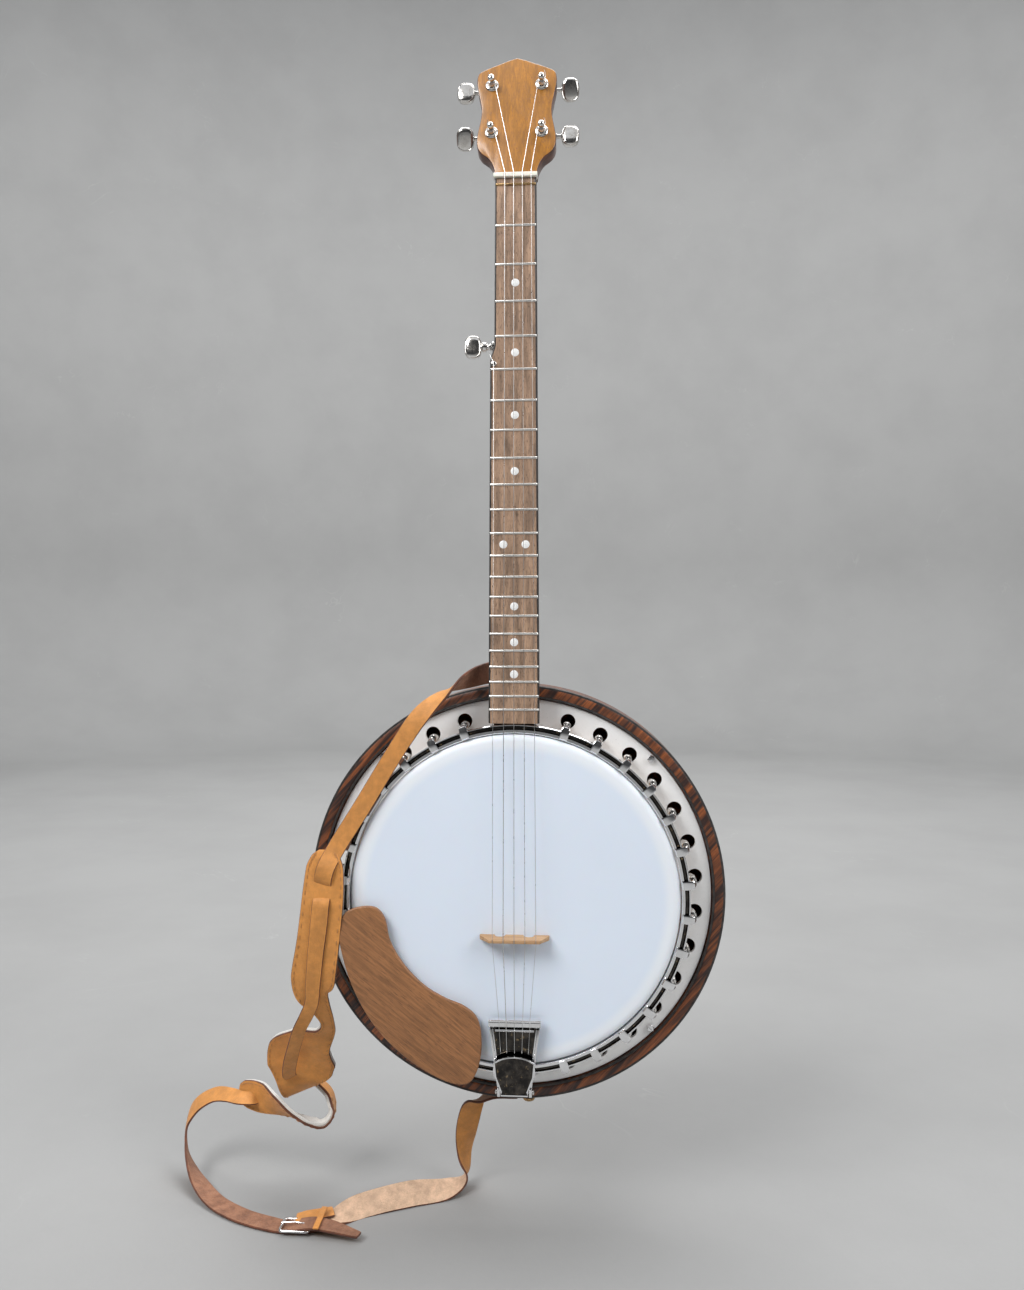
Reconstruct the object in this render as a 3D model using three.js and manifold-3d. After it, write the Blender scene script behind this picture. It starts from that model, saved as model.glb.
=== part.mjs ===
// Resonator banjo with five strings, standing upright. Millimetres, +Z up.
// The pot's axis is Y: the flat middle of the resonator's back is at Y = 0 and the playing face looks
// towards -Y. The neck rises along +Z, leaning back by the neck angle. X is to the right of the player's view.
import * as THREE from 'three';
import { mergeVertices } from 'three/addons/utils/BufferGeometryUtils.js';
import Module from 'manifold-3d';

const wasm = await Module();
wasm.setup();

// Driving dimensions.
const SCALE_LENGTH = 646;
const ZERO_FRET_Z = 615;
const BRIDGE_Z = ZERO_FRET_Z - SCALE_LENGTH;
const FRET_COUNT = 21;
const NECK_ANGLE = THREE.MathUtils.degToRad(3);
const HEADSTOCK_ANGLE = THREE.MathUtils.degToRad(10);

const RESONATOR_RADIUS = 181.5;
const RESONATOR_INNER_RADIUS = 170.3;
const RESONATOR_FRONT_Y = -71;
const FLANGE_RADIUS = 169.6;
const FLANGE_FRONT_Y = -67.7;
const FLANGE_BACK_Y = -63.7;
const FLANGE_HOLE_RING = 156;
const FLANGE_HOLE_RADIUS = 6.5;
const RIM_OUTER_RADIUS = 139.5;
const RIM_INNER_RADIUS = 132;
const HEAD_Y = -98.6;
const HOOP_OUTER_RADIUS = 149;
const HOOP_INNER_RADIUS = 141.5;
const HOOP_FRONT_Y = -97;
const HOOP_BACK_Y = -88;
const HOOK_RING = 153;
const HOOK_COUNT = 30;
// Two more places, beside the neck, stay empty.
const HOOK_PITCH = Math.PI * 2 / (HOOK_COUNT + 2);
const CIRCLE_STEPS = 48;

const BOARD_END_Z = 149.8;
const BOARD_Y = -101;
const BOARD_LENGTH = 471.4;
const BOARD_THICKNESS = 6;
const NUT_HALF_WIDTH = 17.9;
const END_HALF_WIDTH = 21.5;
const ZERO_FRET_ALONG = 465.9;
const BUMP_TOP_ALONG = 326;
const BUMP_BOTTOM_ALONG = 312;
const HEEL_HALF_WIDTH = 15;

const HEADSTOCK_Z = 625.6;
const HEADSTOCK_Y = -73;
const HEADSTOCK_THICKNESS = 14;
const POST_X = 22;
const POST_ALONG = [86.5, 40.5];
const WORM_OFFSET = 8;
const WORM_DEPTH = 19;
const BUTTON_X = 47;

const GAP = 0.3;

const banjo = new THREE.Group();
const axisX = new THREE.Vector3(1, 0, 0);

const neckFrame = new THREE.Matrix4().makeRotationX(-NECK_ANGLE);
neckFrame.setPosition(0, BOARD_Y, BOARD_END_Z);
const headstockFrame = new THREE.Matrix4().makeRotationX(-HEADSTOCK_ANGLE);
headstockFrame.setPosition(0, HEADSTOCK_Y, HEADSTOCK_Z);

// Turns a closed geometry into a solid whose faces point outwards.
function solid(source) {
  const geometry = source.clone();
  geometry.deleteAttribute('normal');
  geometry.deleteAttribute('uv');
  const merged = mergeVertices(geometry, 1e-4);
  const position = merged.attributes.position.array;
  const index = Array.from(merged.index.array);
  const triangles = [];
  let volume = 0;
  const a = new THREE.Vector3();
  const b = new THREE.Vector3();
  const c = new THREE.Vector3();
  for (let i = 0; i < index.length; i += 3) {
    const [p, q, r] = [index[i], index[i + 1], index[i + 2]];
    if (p === q || q === r || r === p) continue;
    a.fromArray(position, p * 3);
    b.fromArray(position, q * 3);
    c.fromArray(position, r * 3);
    volume += a.dot(b.cross(c));
    triangles.push(p, q, r);
  }
  if (volume < 0) {
    for (let i = 0; i < triangles.length; i += 3) {
      [triangles[i], triangles[i + 1]] = [triangles[i + 1], triangles[i]];
    }
  }
  return new wasm.Manifold(new wasm.Mesh({
    numProp: 3,
    vertProperties: new Float32Array(position),
    triVerts: new Uint32Array(triangles),
  }));
}

function toGeometry(manifold) {
  const mesh = manifold.getMesh();
  const geometry = new THREE.BufferGeometry();
  geometry.setAttribute('position', new THREE.BufferAttribute(new Float32Array(mesh.vertProperties), 3));
  geometry.setIndex(new THREE.BufferAttribute(new Uint32Array(mesh.triVerts), 1));
  geometry.computeVertexNormals();
  return geometry;
}

const COLOURS = {
  rosewood: [0x4a2018, 0.25, 0],
  maple: [0xb9814a, 0.5, 0],
  headstock: [0xc07f3e, 0.35, 0],
  board: [0x6f5c48, 0.6, 0],
  chrome: [0xd8dadc, 0.12, 1],
  satin: [0xc9cbcd, 0.35, 1],
  head: [0xeef0f2, 0.5, 0],
  bone: [0xefe8d8, 0.4, 0],
  black: [0x101010, 0.4, 0],
  steel: [0xb9bcc0, 0.25, 1],
  walnut: [0x6b4226, 0.4, 0],
  leather: [0xb06a30, 0.6, 0],
  felt: [0xe9e4da, 0.9, 0],
  brass: [0xb08d57, 0.35, 1],
};

function add(name, shape, colour) {
  const geometry = shape.isBufferGeometry ? toGeometry(solid(shape)) : toGeometry(shape);
  const [hex, roughness, metalness] = COLOURS[colour];
  const material = new THREE.MeshStandardMaterial({ color: hex, roughness, metalness });
  const mesh = new THREE.Mesh(geometry, material);
  mesh.name = name;
  banjo.add(mesh);
}

function box(x0, x1, y0, y1, z0, z1) {
  const geometry = new THREE.BoxGeometry(x1 - x0, y1 - y0, z1 - z0);
  geometry.translate((x0 + x1) / 2, (y0 + y1) / 2, (z0 + z1) / 2);
  return geometry;
}

// A ring or disc about the pot's axis, from a closed profile of [radius, y] points.
function turned(profile, steps = CIRCLE_STEPS) {
  const points = profile.map(([r, y]) => new THREE.Vector2(r, y));
  if (profile[0][0] > 0) points.push(points[0].clone());
  return new THREE.LatheGeometry(points, steps);
}

function cylinderY(x, z, radius, y0, y1, sides = 12) {
  const geometry = new THREE.CylinderGeometry(radius, radius, y1 - y0, sides);
  geometry.translate(x, (y0 + y1) / 2, z);
  return geometry;
}

function cylinderX(y, z, radius, x0, x1, sides = 12) {
  const geometry = new THREE.CylinderGeometry(radius, radius, x1 - x0, sides);
  geometry.rotateZ(Math.PI / 2);
  geometry.translate((x0 + x1) / 2, y, z);
  return geometry;
}

// A flat plate whose outline is given as [x, z] points, between two depths.
function plate(outline, y0, y1) {
  const shape = new THREE.Shape(outline.map(([x, z]) => new THREE.Vector2(x, -z)));
  const geometry = new THREE.ExtrudeGeometry(shape, { depth: y1 - y0, bevelEnabled: false, steps: 1 });
  geometry.rotateX(-Math.PI / 2);
  geometry.translate(0, y0, 0);
  return geometry;
}

// A closed smooth outline through [x, z] points.
function smoothOutline(points, steps) {
  const curve = new THREE.CatmullRomCurve3(points.map(([x, z]) => new THREE.Vector3(x, 0, z)), true);
  return curve.getPoints(steps).slice(0, steps).map((p) => [p.x, p.z]);
}

// Bends a straight bar of unit section and unit length along a route of points. The section's width lies
// along the given side direction at each point.
function sweep(geometry, route, sides, scaleX, scaleY) {
  const position = geometry.attributes.position;
  const last = route.length - 1;
  const tangent = new THREE.Vector3();
  for (let i = 0; i < position.count; i += 1) {
    const step = Math.round((position.getZ(i) + 0.5) * last);
    tangent.copy(route[Math.min(step + 1, last)]).sub(route[Math.max(step - 1, 0)]).normalize();
    const side = sides[step].clone();
    side.addScaledVector(tangent, -side.dot(tangent)).normalize();
    const normal = new THREE.Vector3().crossVectors(tangent, side);
    const point = route[step].clone();
    point.addScaledVector(side, position.getX(i) * scaleX[step]);
    point.addScaledVector(normal, position.getY(i) * scaleY[step]);
    position.setXYZ(i, point.x, point.y, point.z);
  }
  return geometry;
}

// A strap of rectangular section. Each stop is [x, y, z, side x, side y, side z, width].
function strap(stops, thickness, steps) {
  const centre = new THREE.CatmullRomCurve3(stops.map((s) => new THREE.Vector3(s[0], s[1], s[2])));
  const across = new THREE.CatmullRomCurve3(stops.map((s) => new THREE.Vector3(s[3], s[4], s[5]).normalize()));
  const widths = new THREE.CatmullRomCurve3(stops.map((s, i) => new THREE.Vector3(i, s[6], 0)));
  const route = [];
  const sides = [];
  const wide = [];
  for (let i = 0; i <= steps; i += 1) {
    route.push(centre.getPoint(i / steps));
    sides.push(across.getPoint(i / steps).normalize());
    wide.push(widths.getPoint(i / steps).y);
  }
  const base = new THREE.BoxGeometry(1, 1, 1, 1, 1, steps);
  return sweep(base, route, sides, wide, wide.map(() => thickness));
}

// A round wire through given points.
function wire(points, radius, sides = 6) {
  const route = points.map((p) => new THREE.Vector3(...p));
  const base = new THREE.CylinderGeometry(1, 1, 1, sides, route.length - 1);
  base.rotateX(Math.PI / 2);
  const thick = route.map(() => radius);
  return sweep(base, route, route.map(() => axisX), thick, thick);
}

// ---------------------------------------------------------------- pot
const notchHalfWidth = HEEL_HALF_WIDTH + 0.6;
const heelNotch = solid(box(-notchHalfWidth, notchHalfWidth, -76, -36, 134, 190));

const bowl = turned([
  [0, 0], [55, 0], [110, -2.5], [150, -8], [170, -14], [178, -20], [RESONATOR_RADIUS, -28],
  [RESONATOR_RADIUS, -66.7], [179.4, -66.7], [179.4, RESONATOR_FRONT_Y], [172.7, RESONATOR_FRONT_Y],
  [172.7, -69], [RESONATOR_INNER_RADIUS, -69], [RESONATOR_INNER_RADIUS, FLANGE_BACK_Y + GAP],
  [165, FLANGE_BACK_Y + GAP], [165, -30], [152, -18], [110, -11], [0, -8],
]);
add('resonator_bowl', solid(bowl).subtract(heelNotch), 'rosewood');
const edgeBinding = turned([
  [179.7, -67.1], [RESONATOR_RADIUS, -67.1], [RESONATOR_RADIUS, RESONATOR_FRONT_Y], [179.7, RESONATOR_FRONT_Y],
]);
add('resonator_edge_binding', solid(edgeBinding).subtract(heelNotch), 'black');
const innerBinding = turned([
  [RESONATOR_INNER_RADIUS, -69.3], [172.4, -69.3], [172.4, RESONATOR_FRONT_Y],
  [RESONATOR_INNER_RADIUS, RESONATOR_FRONT_Y],
]);
add('resonator_inner_binding', solid(innerBinding).subtract(heelNotch), 'black');

add('rim_shell', turned([
  [RIM_INNER_RADIUS, -97.2], [136.5, -97.2], [139.4, -94.9], [RIM_OUTER_RADIUS, -22], [RIM_INNER_RADIUS, -22],
]), 'maple');

add('drum_head', turned([
  [0, HEAD_Y], [136.6, HEAD_Y], [139.8, -97.4], [141, -95.2], [141, -88], [140.1, -88], [140.1, -95],
  [137.2, -97.6], [0, -97.6],
]), 'head');

let flange = solid(turned([
  [140, -74], [142, -74], [142, FLANGE_FRONT_Y], [FLANGE_RADIUS, FLANGE_FRONT_Y],
  [FLANGE_RADIUS, FLANGE_BACK_Y], [140, FLANGE_BACK_Y],
]));
let hoop = solid(turned([
  [HOOP_INNER_RADIUS, HOOP_FRONT_Y], [HOOP_OUTER_RADIUS, HOOP_FRONT_Y],
  [HOOP_OUTER_RADIUS, HOOP_BACK_Y], [HOOP_INNER_RADIUS, HOOP_BACK_Y],
]));
for (let k = 1; k <= HOOK_COUNT; k += 1) {
  const angle = (k + 0.5) * HOOK_PITCH;
  const sin = Math.sin(angle);
  const cos = Math.cos(angle);
  const hole = cylinderY(FLANGE_HOLE_RING * sin, FLANGE_HOLE_RING * cos, FLANGE_HOLE_RADIUS, -72, -60, 12);
  flange = flange.subtract(solid(hole));
  const claw = box(-3.5, 3.5, -99.6, -96.4, 142.6, 155.6);
  claw.rotateY(angle);
  const shaft = cylinderY(HOOK_RING * sin, HOOK_RING * cos, 2.3, -98, -46, 6);
  hoop = hoop.add(solid(claw)).add(solid(shaft));
}
add('flange', flange.subtract(heelNotch), 'satin');
add('tension_hoop', hoop, 'chrome');

for (const [name, y] of [['rod_front', -62], ['rod_back', -44]]) {
  const rod = new THREE.CylinderGeometry(4, 4, 2 * RIM_INNER_RADIUS - 1.4, 12);
  rod.rotateX(Math.PI / 2);
  rod.translate(0, y, 0);
  add(name, rod, 'chrome');
}

const screwRing = 165.8;
[[1, 1], [1, -1], [-1, -1], [-1, 1]].forEach(([sx, sz], i) => {
  const x = sx * screwRing * Math.SQRT1_2;
  const z = sz * screwRing * Math.SQRT1_2;
  const cap = solid(cylinderY(x, z, 3.3, -71.4, -68, 16));
  const slot = solid(box(x - 4, x + 4, -72, -70.6, z - 0.5, z + 0.5));
  add(`resonator_screw_${i + 1}`, cap.subtract(slot), 'chrome');
});

// ---------------------------------------------------------------- neck
function rightEdge(t) {
  return END_HALF_WIDTH + (NUT_HALF_WIDTH - END_HALF_WIDTH) * Math.max(t, 0) / ZERO_FRET_ALONG;
}

// The bass side widens below the fifth fret, where the short string starts.
function leftEdge(t) {
  const step = THREE.MathUtils.smoothstep(t, BUMP_BOTTOM_ALONG, BUMP_TOP_ALONG);
  const upper = NUT_HALF_WIDTH + 0.3 * (ZERO_FRET_ALONG - t) / ZERO_FRET_ALONG;
  return -(END_HALF_WIDTH + (upper - END_HALF_WIDTH) * step);
}

const stations = [0.3, 60, 120, 180, 240, 300, 312, 315, 319, 323, 326, 350, 400, BOARD_LENGTH];
const boardOutline = [
  ...stations.map((t) => [rightEdge(t), t]),
  ...[...stations].reverse().map((t) => [leftEdge(t), t]),
];
let board = solid(plate(boardOutline, 0, BOARD_THICKNESS));
for (let n = 0; n <= FRET_COUNT; n += 1) {
  const t = ZERO_FRET_ALONG - SCALE_LENGTH * (1 - 2 ** (-n / 12));
  const halfHeight = n === 0 ? 1.3 : 1;
  board = board.add(solid(box(leftEdge(t) + 0.6, rightEdge(t) - 0.6, -halfHeight, 1, t - 1.1, t + 1.1)));
}
add('fretboard', board.transform(neckFrame.elements), 'board');

// The shaft of the neck: flat on top, rounded behind, following the board's edges.
const shaftStations = [...stations, BOARD_LENGTH + 10];
const shaft = new THREE.BoxGeometry(1, 1, 1, 8, 1, shaftStations.length - 1);
const shaftPosition = shaft.attributes.position;
for (let i = 0; i < shaftPosition.count; i += 1) {
  const u = shaftPosition.getX(i) * 2;
  const t = shaftStations[Math.round((shaftPosition.getZ(i) + 0.5) * (shaftStations.length - 1))];
  const left = leftEdge(Math.min(t, BOARD_LENGTH));
  const right = rightEdge(Math.min(t, BOARD_LENGTH));
  const x = (left + right) / 2 + Math.sin(u * Math.PI / 2) * (right - left) / 2;
  const depth = 22.5 - 2.5 * t / BOARD_LENGTH;
  const roundness = Math.sqrt(Math.max(0, 1 - Math.sin(u * Math.PI / 2) ** 2));
  const y = shaftPosition.getY(i) < 0 ? BOARD_THICKNESS + GAP : 9 + (depth - 9) * roundness;
  shaftPosition.setXYZ(i, x, y, t);
}
let neck = solid(shaft).transform(neckFrame.elements);

const heelSide = [[138, -87.5], [149.9, -87.5], [149.9, -94.2], [235, -89], [235, -76], [212, -71],
  [200, -66], [191, -59], [184, -49], [178, -40], [138, -38.5]];
const heelShape = new THREE.Shape(heelSide.map(([z, y]) => new THREE.Vector2(-z, y)));
const heel = new THREE.ExtrudeGeometry(heelShape, { depth: HEEL_HALF_WIDTH * 2, bevelEnabled: false });
heel.rotateY(Math.PI / 2);
heel.translate(-HEEL_HALF_WIDTH, 0, 0);
neck = neck.add(solid(heel)).subtract(solid(turned([[0, -110], [140, -110], [140, 0], [0, 0]], 96)));

// Headstock outline, [x, distance from the nut].
const headstockSide = [[18.6, 0], [19.4, 6], [24, 15], [31, 21], [34.2, 27], [34.6, 36], [33, 46],
  [31.2, 56], [31, 64], [33, 76], [35, 87], [35.2, 93], [33.6, 99], [27, 103], [16, 107.5], [8, 110.8], [0, 113.4]];
const headstockOutline = [...headstockSide, ...headstockSide.slice(0, -1).reverse().map(([x, s]) => [-x, s])];
let headstock = solid(plate(headstockOutline, 0, HEADSTOCK_THICKNESS));
const posts = [[POST_X, POST_ALONG[0], 1], [POST_X, POST_ALONG[1], 1],
  [-POST_X, POST_ALONG[1], -1], [-POST_X, POST_ALONG[0], -1]];
for (const [x, s] of posts) {
  headstock = headstock.subtract(solid(cylinderY(x, s, 3.7, -5, 30, 16)));
}
neck = neck.add(headstock.transform(headstockFrame.elements));

// Seat for the short string's peg in the side of the neck.
const PEG_ALONG = 327;
const PEG_DEPTH = 11.5;
neck = neck.subtract(solid(cylinderX(PEG_DEPTH, PEG_ALONG, 4.4, -26, -6, 16)).transform(neckFrame.elements));
add('neck', neck, 'maple');

const nut = plate([[-19.2, 471.7], [18.8, 471.7], [18.8, 475.9], [-19.2, 475.9]], -2.4, 5);
add('nut', solid(nut).transform(neckFrame.elements), 'bone');
add('fifth_string_nut', solid(cylinderY(-18.2, 308.4, 2.4, -2.4, -0.3, 12)).transform(neckFrame.elements), 'bone');

// ---------------------------------------------------------------- bridge and strings
const BRIDGE_TOP = 16;
const BRIDGE_THICKNESS = 3.6;
const bridgeOutline = [[-29.5, 0], [-17, 0], [-15.5, 6], [-9, 6], [-7.5, 0], [7.5, 0], [9, 6], [15.5, 6], [17, 0],
  [29.5, 0], [29.5, 3], [24, 12.5], [22.5, BRIDGE_TOP], [-21.5, BRIDGE_TOP], [-23, 12.5], [-29.5, 3]];
const bridgeShape = new THREE.Shape(bridgeOutline.map(([x, h]) => new THREE.Vector2(x + 0.5, -h)));
const bridge = new THREE.ExtrudeGeometry(bridgeShape, { depth: BRIDGE_THICKNESS, bevelEnabled: false });
bridge.translate(0, HEAD_Y - GAP, BRIDGE_Z - BRIDGE_THICKNESS / 2);
add('bridge', bridge, 'maple');

const bridgeX = [-17.2, -8.1, 1.0, 10.1, 19.2];
const nutX = [null, -9.3, -1.7, 5.9, 13.5];
const tailX = [-12, -6, 1, 8, 14];
const bridgeTopY = HEAD_Y - GAP - BRIDGE_TOP;
const WIRE_RADIUS = [0.3, 0.45, 0.38, 0.32, 0.3];
const TAIL_Y = -108.8;

function fromHeadstock(x, y, s) {
  return new THREE.Vector3(x, y, s).applyMatrix4(headstockFrame).toArray();
}

function fromNeck(x, y, t) {
  return new THREE.Vector3(x, y, t).applyMatrix4(neckFrame).toArray();
}

for (let i = 0; i < 5; i += 1) {
  const radius = WIRE_RADIUS[i];
  const lift = radius + GAP;
  const route = [];
  if (i === 0) {
    route.push(fromNeck(-23.6, 6.6, PEG_ALONG - 1.5));
    route.push(fromNeck(-21.8, -0.8, 317));
    route.push(fromNeck(-18.2, -2.4 - lift, 310));
    route.push(fromNeck(-18.2, -2.4 - lift, 306.8));
  } else {
    const [postX, postAlong] = [posts[2], posts[3], posts[0], posts[1]][i - 1];
    const inner = postX - Math.sign(postX) * (3 + lift);
    route.push(fromHeadstock(inner, -6, postAlong));
    route.push(fromNeck(nutX[i], -2.4 - lift, 475.9));
    route.push(fromNeck(nutX[i], -2.4 - lift, 471.7));
    route.push(fromNeck(nutX[i], -1.3 - lift, ZERO_FRET_ALONG));
  }
  route.push([bridgeX[i], bridgeTopY - lift, BRIDGE_Z + 1.9]);
  route.push([bridgeX[i], bridgeTopY - lift, BRIDGE_Z - 1.9]);
  route.push([tailX[i], TAIL_Y - lift - 0.3, -96]);
  route.push([tailX[i] * 0.9, TAIL_Y - lift, -127]);
  add(`string_${i + 1}`, wire(route, radius), 'steel');
}

// ---------------------------------------------------------------- tailpiece
const TAIL_CENTRE = 1;
const HINGE_Z = -159.5;
const HINGE_Y = -107.2;
const tailOuter = [[-21.5, -98], [21.5, -98], [21.3, -106], [17, -135], [14.6, -157.2], [-14.6, -157.2], [-17, -135],
  [-21.3, -106]];
const tailInner = [[-17.5, -106], [17.5, -106], [14, -135], [12.8, -152], [-12.8, -152], [-14, -135]];
const shift = (points) => points.map(([x, z]) => [x + TAIL_CENTRE, z]);
let tail = solid(plate(shift(tailOuter), TAIL_Y + GAP, -104));
tail = tail.subtract(solid(plate(shift(tailInner), -120, -105.6)));
for (const side of [-1, 1]) {
  const lug = box(TAIL_CENTRE + side * 13.4 - 1.2, TAIL_CENTRE + side * 13.4 + 1.2, -109.4, -104, -163, -156);
  tail = tail.add(solid(lug));
}
tail = tail.add(solid(box(TAIL_CENTRE - 6, TAIL_CENTRE + 6, -104.2, -102, -163, -150)));
tail = tail.add(solid(box(TAIL_CENTRE - 6, TAIL_CENTRE + 6, -104.2, -68.4, -163, -160.6)));
tail = tail.subtract(solid(cylinderX(HINGE_Y, HINGE_Z, 1.2, -20, 20, 12)));
add('tailpiece_base', tail, 'chrome');

const coverOutline = [[-17.6, -133], [-12, -129.5], [0, -127.6], [12, -129.5], [17.6, -133], [16.4, -145], [11.4, -158],
  [11.4, -161], [-11.4, -161], [-11.4, -158], [-16.4, -145]];
let cover = solid(plate(shift(coverOutline), -112.6, -110.2));
cover = cover.add(solid(box(TAIL_CENTRE - 11.4, TAIL_CENTRE + 11.4, -112, -105.8, -161, -158.4)));
cover = cover.subtract(solid(cylinderX(HINGE_Y, HINGE_Z, 1.2, -20, 20, 12)));
add('tailpiece_cover', cover, 'chrome');
add('tailpiece_pin', cylinderX(HINGE_Y, HINGE_Z, 0.9, TAIL_CENTRE - 15.2, TAIL_CENTRE + 15.2, 12), 'chrome');

// ---------------------------------------------------------------- armrest
const armrestOutline = smoothOutline([[-149, -27], [-144, -12], [-131, -6], [-117, -6.5], [-109.5, -15], [-105, -34],
  [-94, -53], [-76, -71.5], [-58, -82], [-41, -89], [-31, -98], [-27, -116], [-30, -141], [-38, -153.5],
  [-52, -154], [-76, -143.5], [-98, -128], [-119, -106], [-136, -77], [-146, -47]], 48);
add('armrest_plate', plate(armrestOutline, -107.5, -103), 'walnut');
[236.25, 213.75].forEach((degrees, i) => {
  let clamp = solid(box(-5, 5, -102.7, -101, 144, 157));
  clamp = clamp.add(solid(cylinderY(0, 152.6, 2.2, -102, -78, 10)));
  clamp = clamp.add(solid(box(-4, 4, -87.6, -85.6, 143, 156)));
  const turn = new THREE.Matrix4().makeRotationY(THREE.MathUtils.degToRad(degrees));
  add(`armrest_clamp_${i + 1}`, clamp.transform(turn.elements), 'chrome');
});

// ---------------------------------------------------------------- tuning machines
// A button turns a worm behind the headstock, and the worm turns the gear on the foot of its post.
const BUTTON_TURN = [28, 0, 35, 0];
posts.forEach(([x, s, side], i) => {
  const number = i + 1;
  const wormS = s + WORM_OFFSET;
  const washer = turned([[3.5, -2], [5.6, -2], [5.6, -GAP], [3.5, -GAP]], 16);
  washer.translate(x, 0, s);
  add(`tuner_bushing_${number}`, solid(washer).transform(headstockFrame.elements), 'chrome');

  let post = solid(cylinderY(x, s, 3, -12, 20, 14));
  post = post.add(solid(cylinderY(x, s, 4.4, 15.4, 22.4, 14)));
  add(`tuner_post_${number}`, post.transform(headstockFrame.elements), 'chrome');

  let housing = solid(box(x - 7.5, x + 7.5, HEADSTOCK_THICKNESS + GAP, 25.2, s - 7, s + 14));
  housing = housing.subtract(solid(box(x - 6.2, x + 6.2, 10, 24, s - 5.8, s + 12.6)));
  housing = housing.subtract(solid(cylinderX(WORM_DEPTH, wormS, 2.4, x + side * 10 - 7, x + side * 10 + 7, 14)));
  add(`tuner_housing_${number}`, housing.transform(headstockFrame.elements), 'chrome');

  const inner = x - side * 5.6;
  const outer = side * (BUTTON_X - 4);
  let button = solid(cylinderX(WORM_DEPTH, wormS, 2.1, Math.min(inner, outer), Math.max(inner, outer), 12));
  button = button.add(solid(cylinderX(WORM_DEPTH, wormS, 3.1, x - 5, x + 5, 12)));
  const paddle = new THREE.SphereGeometry(1, 16, 10);
  paddle.scale(8.2, 3.4, 10);
  paddle.rotateX(THREE.MathUtils.degToRad(BUTTON_TURN[i]));
  paddle.translate(side * BUTTON_X, WORM_DEPTH, wormS);
  button = button.add(solid(paddle));
  add(`tuner_button_${number}`, button.transform(headstockFrame.elements), 'chrome');
});

// The short string's peg: a fixed sleeve in the neck's side with a turning spindle inside it.
const sleeveProfile = [[2.2, 0], [4.1, 0], [4.1, 8], [5.2, 8], [5.2, 10], [2.2, 10]];
const sleeve = turned(sleeveProfile, 16);
sleeve.rotateZ(Math.PI / 2);
sleeve.translate(-11, PEG_DEPTH, PEG_ALONG);
add('fifth_peg_sleeve', solid(sleeve).transform(neckFrame.elements), 'chrome');
let peg = solid(cylinderX(PEG_DEPTH, PEG_ALONG, 1.9, -33, -12, 14));
peg = peg.add(solid(cylinderX(PEG_DEPTH, PEG_ALONG, 3, -25.6, -21.4, 14)));
peg = peg.add(solid(cylinderX(PEG_DEPTH, PEG_ALONG, 4.6, -29.6, -25.4, 16)));
const pegPaddle = new THREE.SphereGeometry(1, 16, 10);
pegPaddle.scale(7.6, 3.6, 10.4);
pegPaddle.translate(-37.4, PEG_DEPTH, PEG_ALONG);
add('fifth_peg', peg.add(solid(pegPaddle)).transform(neckFrame.elements), 'chrome');

// ---------------------------------------------------------------- strap
add('strap_upper', strap([
  [12, -46, 193.4, 0, 0.1, 1, 19], [-14, -45.5, 193.4, 0, 0.1, 1, 19], [-24, -56, 192, 0, 0, 1, 19],
  [-34, -78, 188, 0.1, -0.9, 0.5, 19], [-48, -94, 181, 0.55, -0.8, -0.3, 19], [-71, -103, 169, 0.8, -0.2, -0.5, 19],
  [-96, -103, 131, 0.83, 0, -0.55, 19], [-131, -103, 76, 0.83, 0, -0.55, 19], [-154, -103, 36, 0.86, 0, -0.5, 19],
  [-163, -103, 10, 0.9, 0, -0.45, 19],
], 2.2, 36), 'leather');
add('strap_pad', strap([
  [-165, -107.5, 33, 0.98, 0, -0.17, 30], [-168, -108, 4, 1, 0, 0, 34], [-171, -104, -45, 1, 0, 0, 34],
  [-173, -92, -90, 1, 0, 0, 34], [-179, -75, -128, 0.98, 0, 0.1, 40], [-192, -58, -160, 0.97, 0, 0.2, 54],
  [-203, -50, -192, 0.97, 0, 0.2, 62], [-208, -42, -212, 0.97, 0, 0.2, 60], [-212, -30, -218, 0.97, 0, 0.2, 54],
  [-220, -20, -206, 0.95, 0, 0.3, 44], [-234, -18, -190, 0.85, 0, 0.5, 32], [-246, -22, -178, 0.7, 0, 0.7, 26],
], 4.5, 40), 'leather');
add('strap_tail', strap([
  [-246, -30, -204, 0, 1, 0, 19], [-268, -22, -206, 0, 1, 0, 19], [-290, -12, -212.5, 0, 1, 0, 19],
  [-320, -6, -229, 0.2, 1, 0, 19], [-328, -10, -246, 0.3, 1, 0, 19], [-322, -22, -261, 0.3, 1, 0, 19],
  [-310, -33, -272, 0.2, 1, 0, 19], [-292, -50, -280, 0.1, 1, 0, 19], [-270, -69, -284, 0, 1, 0, 19],
  [-240, -87, -285, 0, 1, 0, 19], [-212, -97, -285.2, 0, 1, 0, 19], [-199, -100, -285.2, 0, 1, 0, 18],
  [-186, -102.5, -281.8, 0, 1, 0, 18], [-173, -104.5, -278.8, 0, 1, 0, 18], [-158, -107, -279, 0, 1, 0, 17],
  [-130, -115, -281, 0, 1, 0, 9],
], 2, 45), 'leather');
add('strap_lower', strap([
  [-183, -100, -285.3, 0.3, 1, 0, 20], [-166, -92, -285, 0.35, 0.9, 0, 20], [-138, -73, -281, 0.3, 0.8, 0.5, 22],
  [-98, -54, -279, 0.2, 0.75, 0.5, 23], [-64, -38, -281, 0.1, 0.9, 0.3, 22], [-50, -27, -275, 0, 1, 0, 20],
  [-51, -20, -257, 0.5, 0.8, 0, 20], [-46, -33, -220, 1, 0, 0.1, 20], [-38, -41, -199, 0.9, 0.2, 0.4, 20],
  [-20, -43.5, -190.5, 0.2, 0.95, 0, 20], [0, -43, -189.5, 0, 1, 0, 20],
], 2.2, 36), 'leather');
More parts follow.
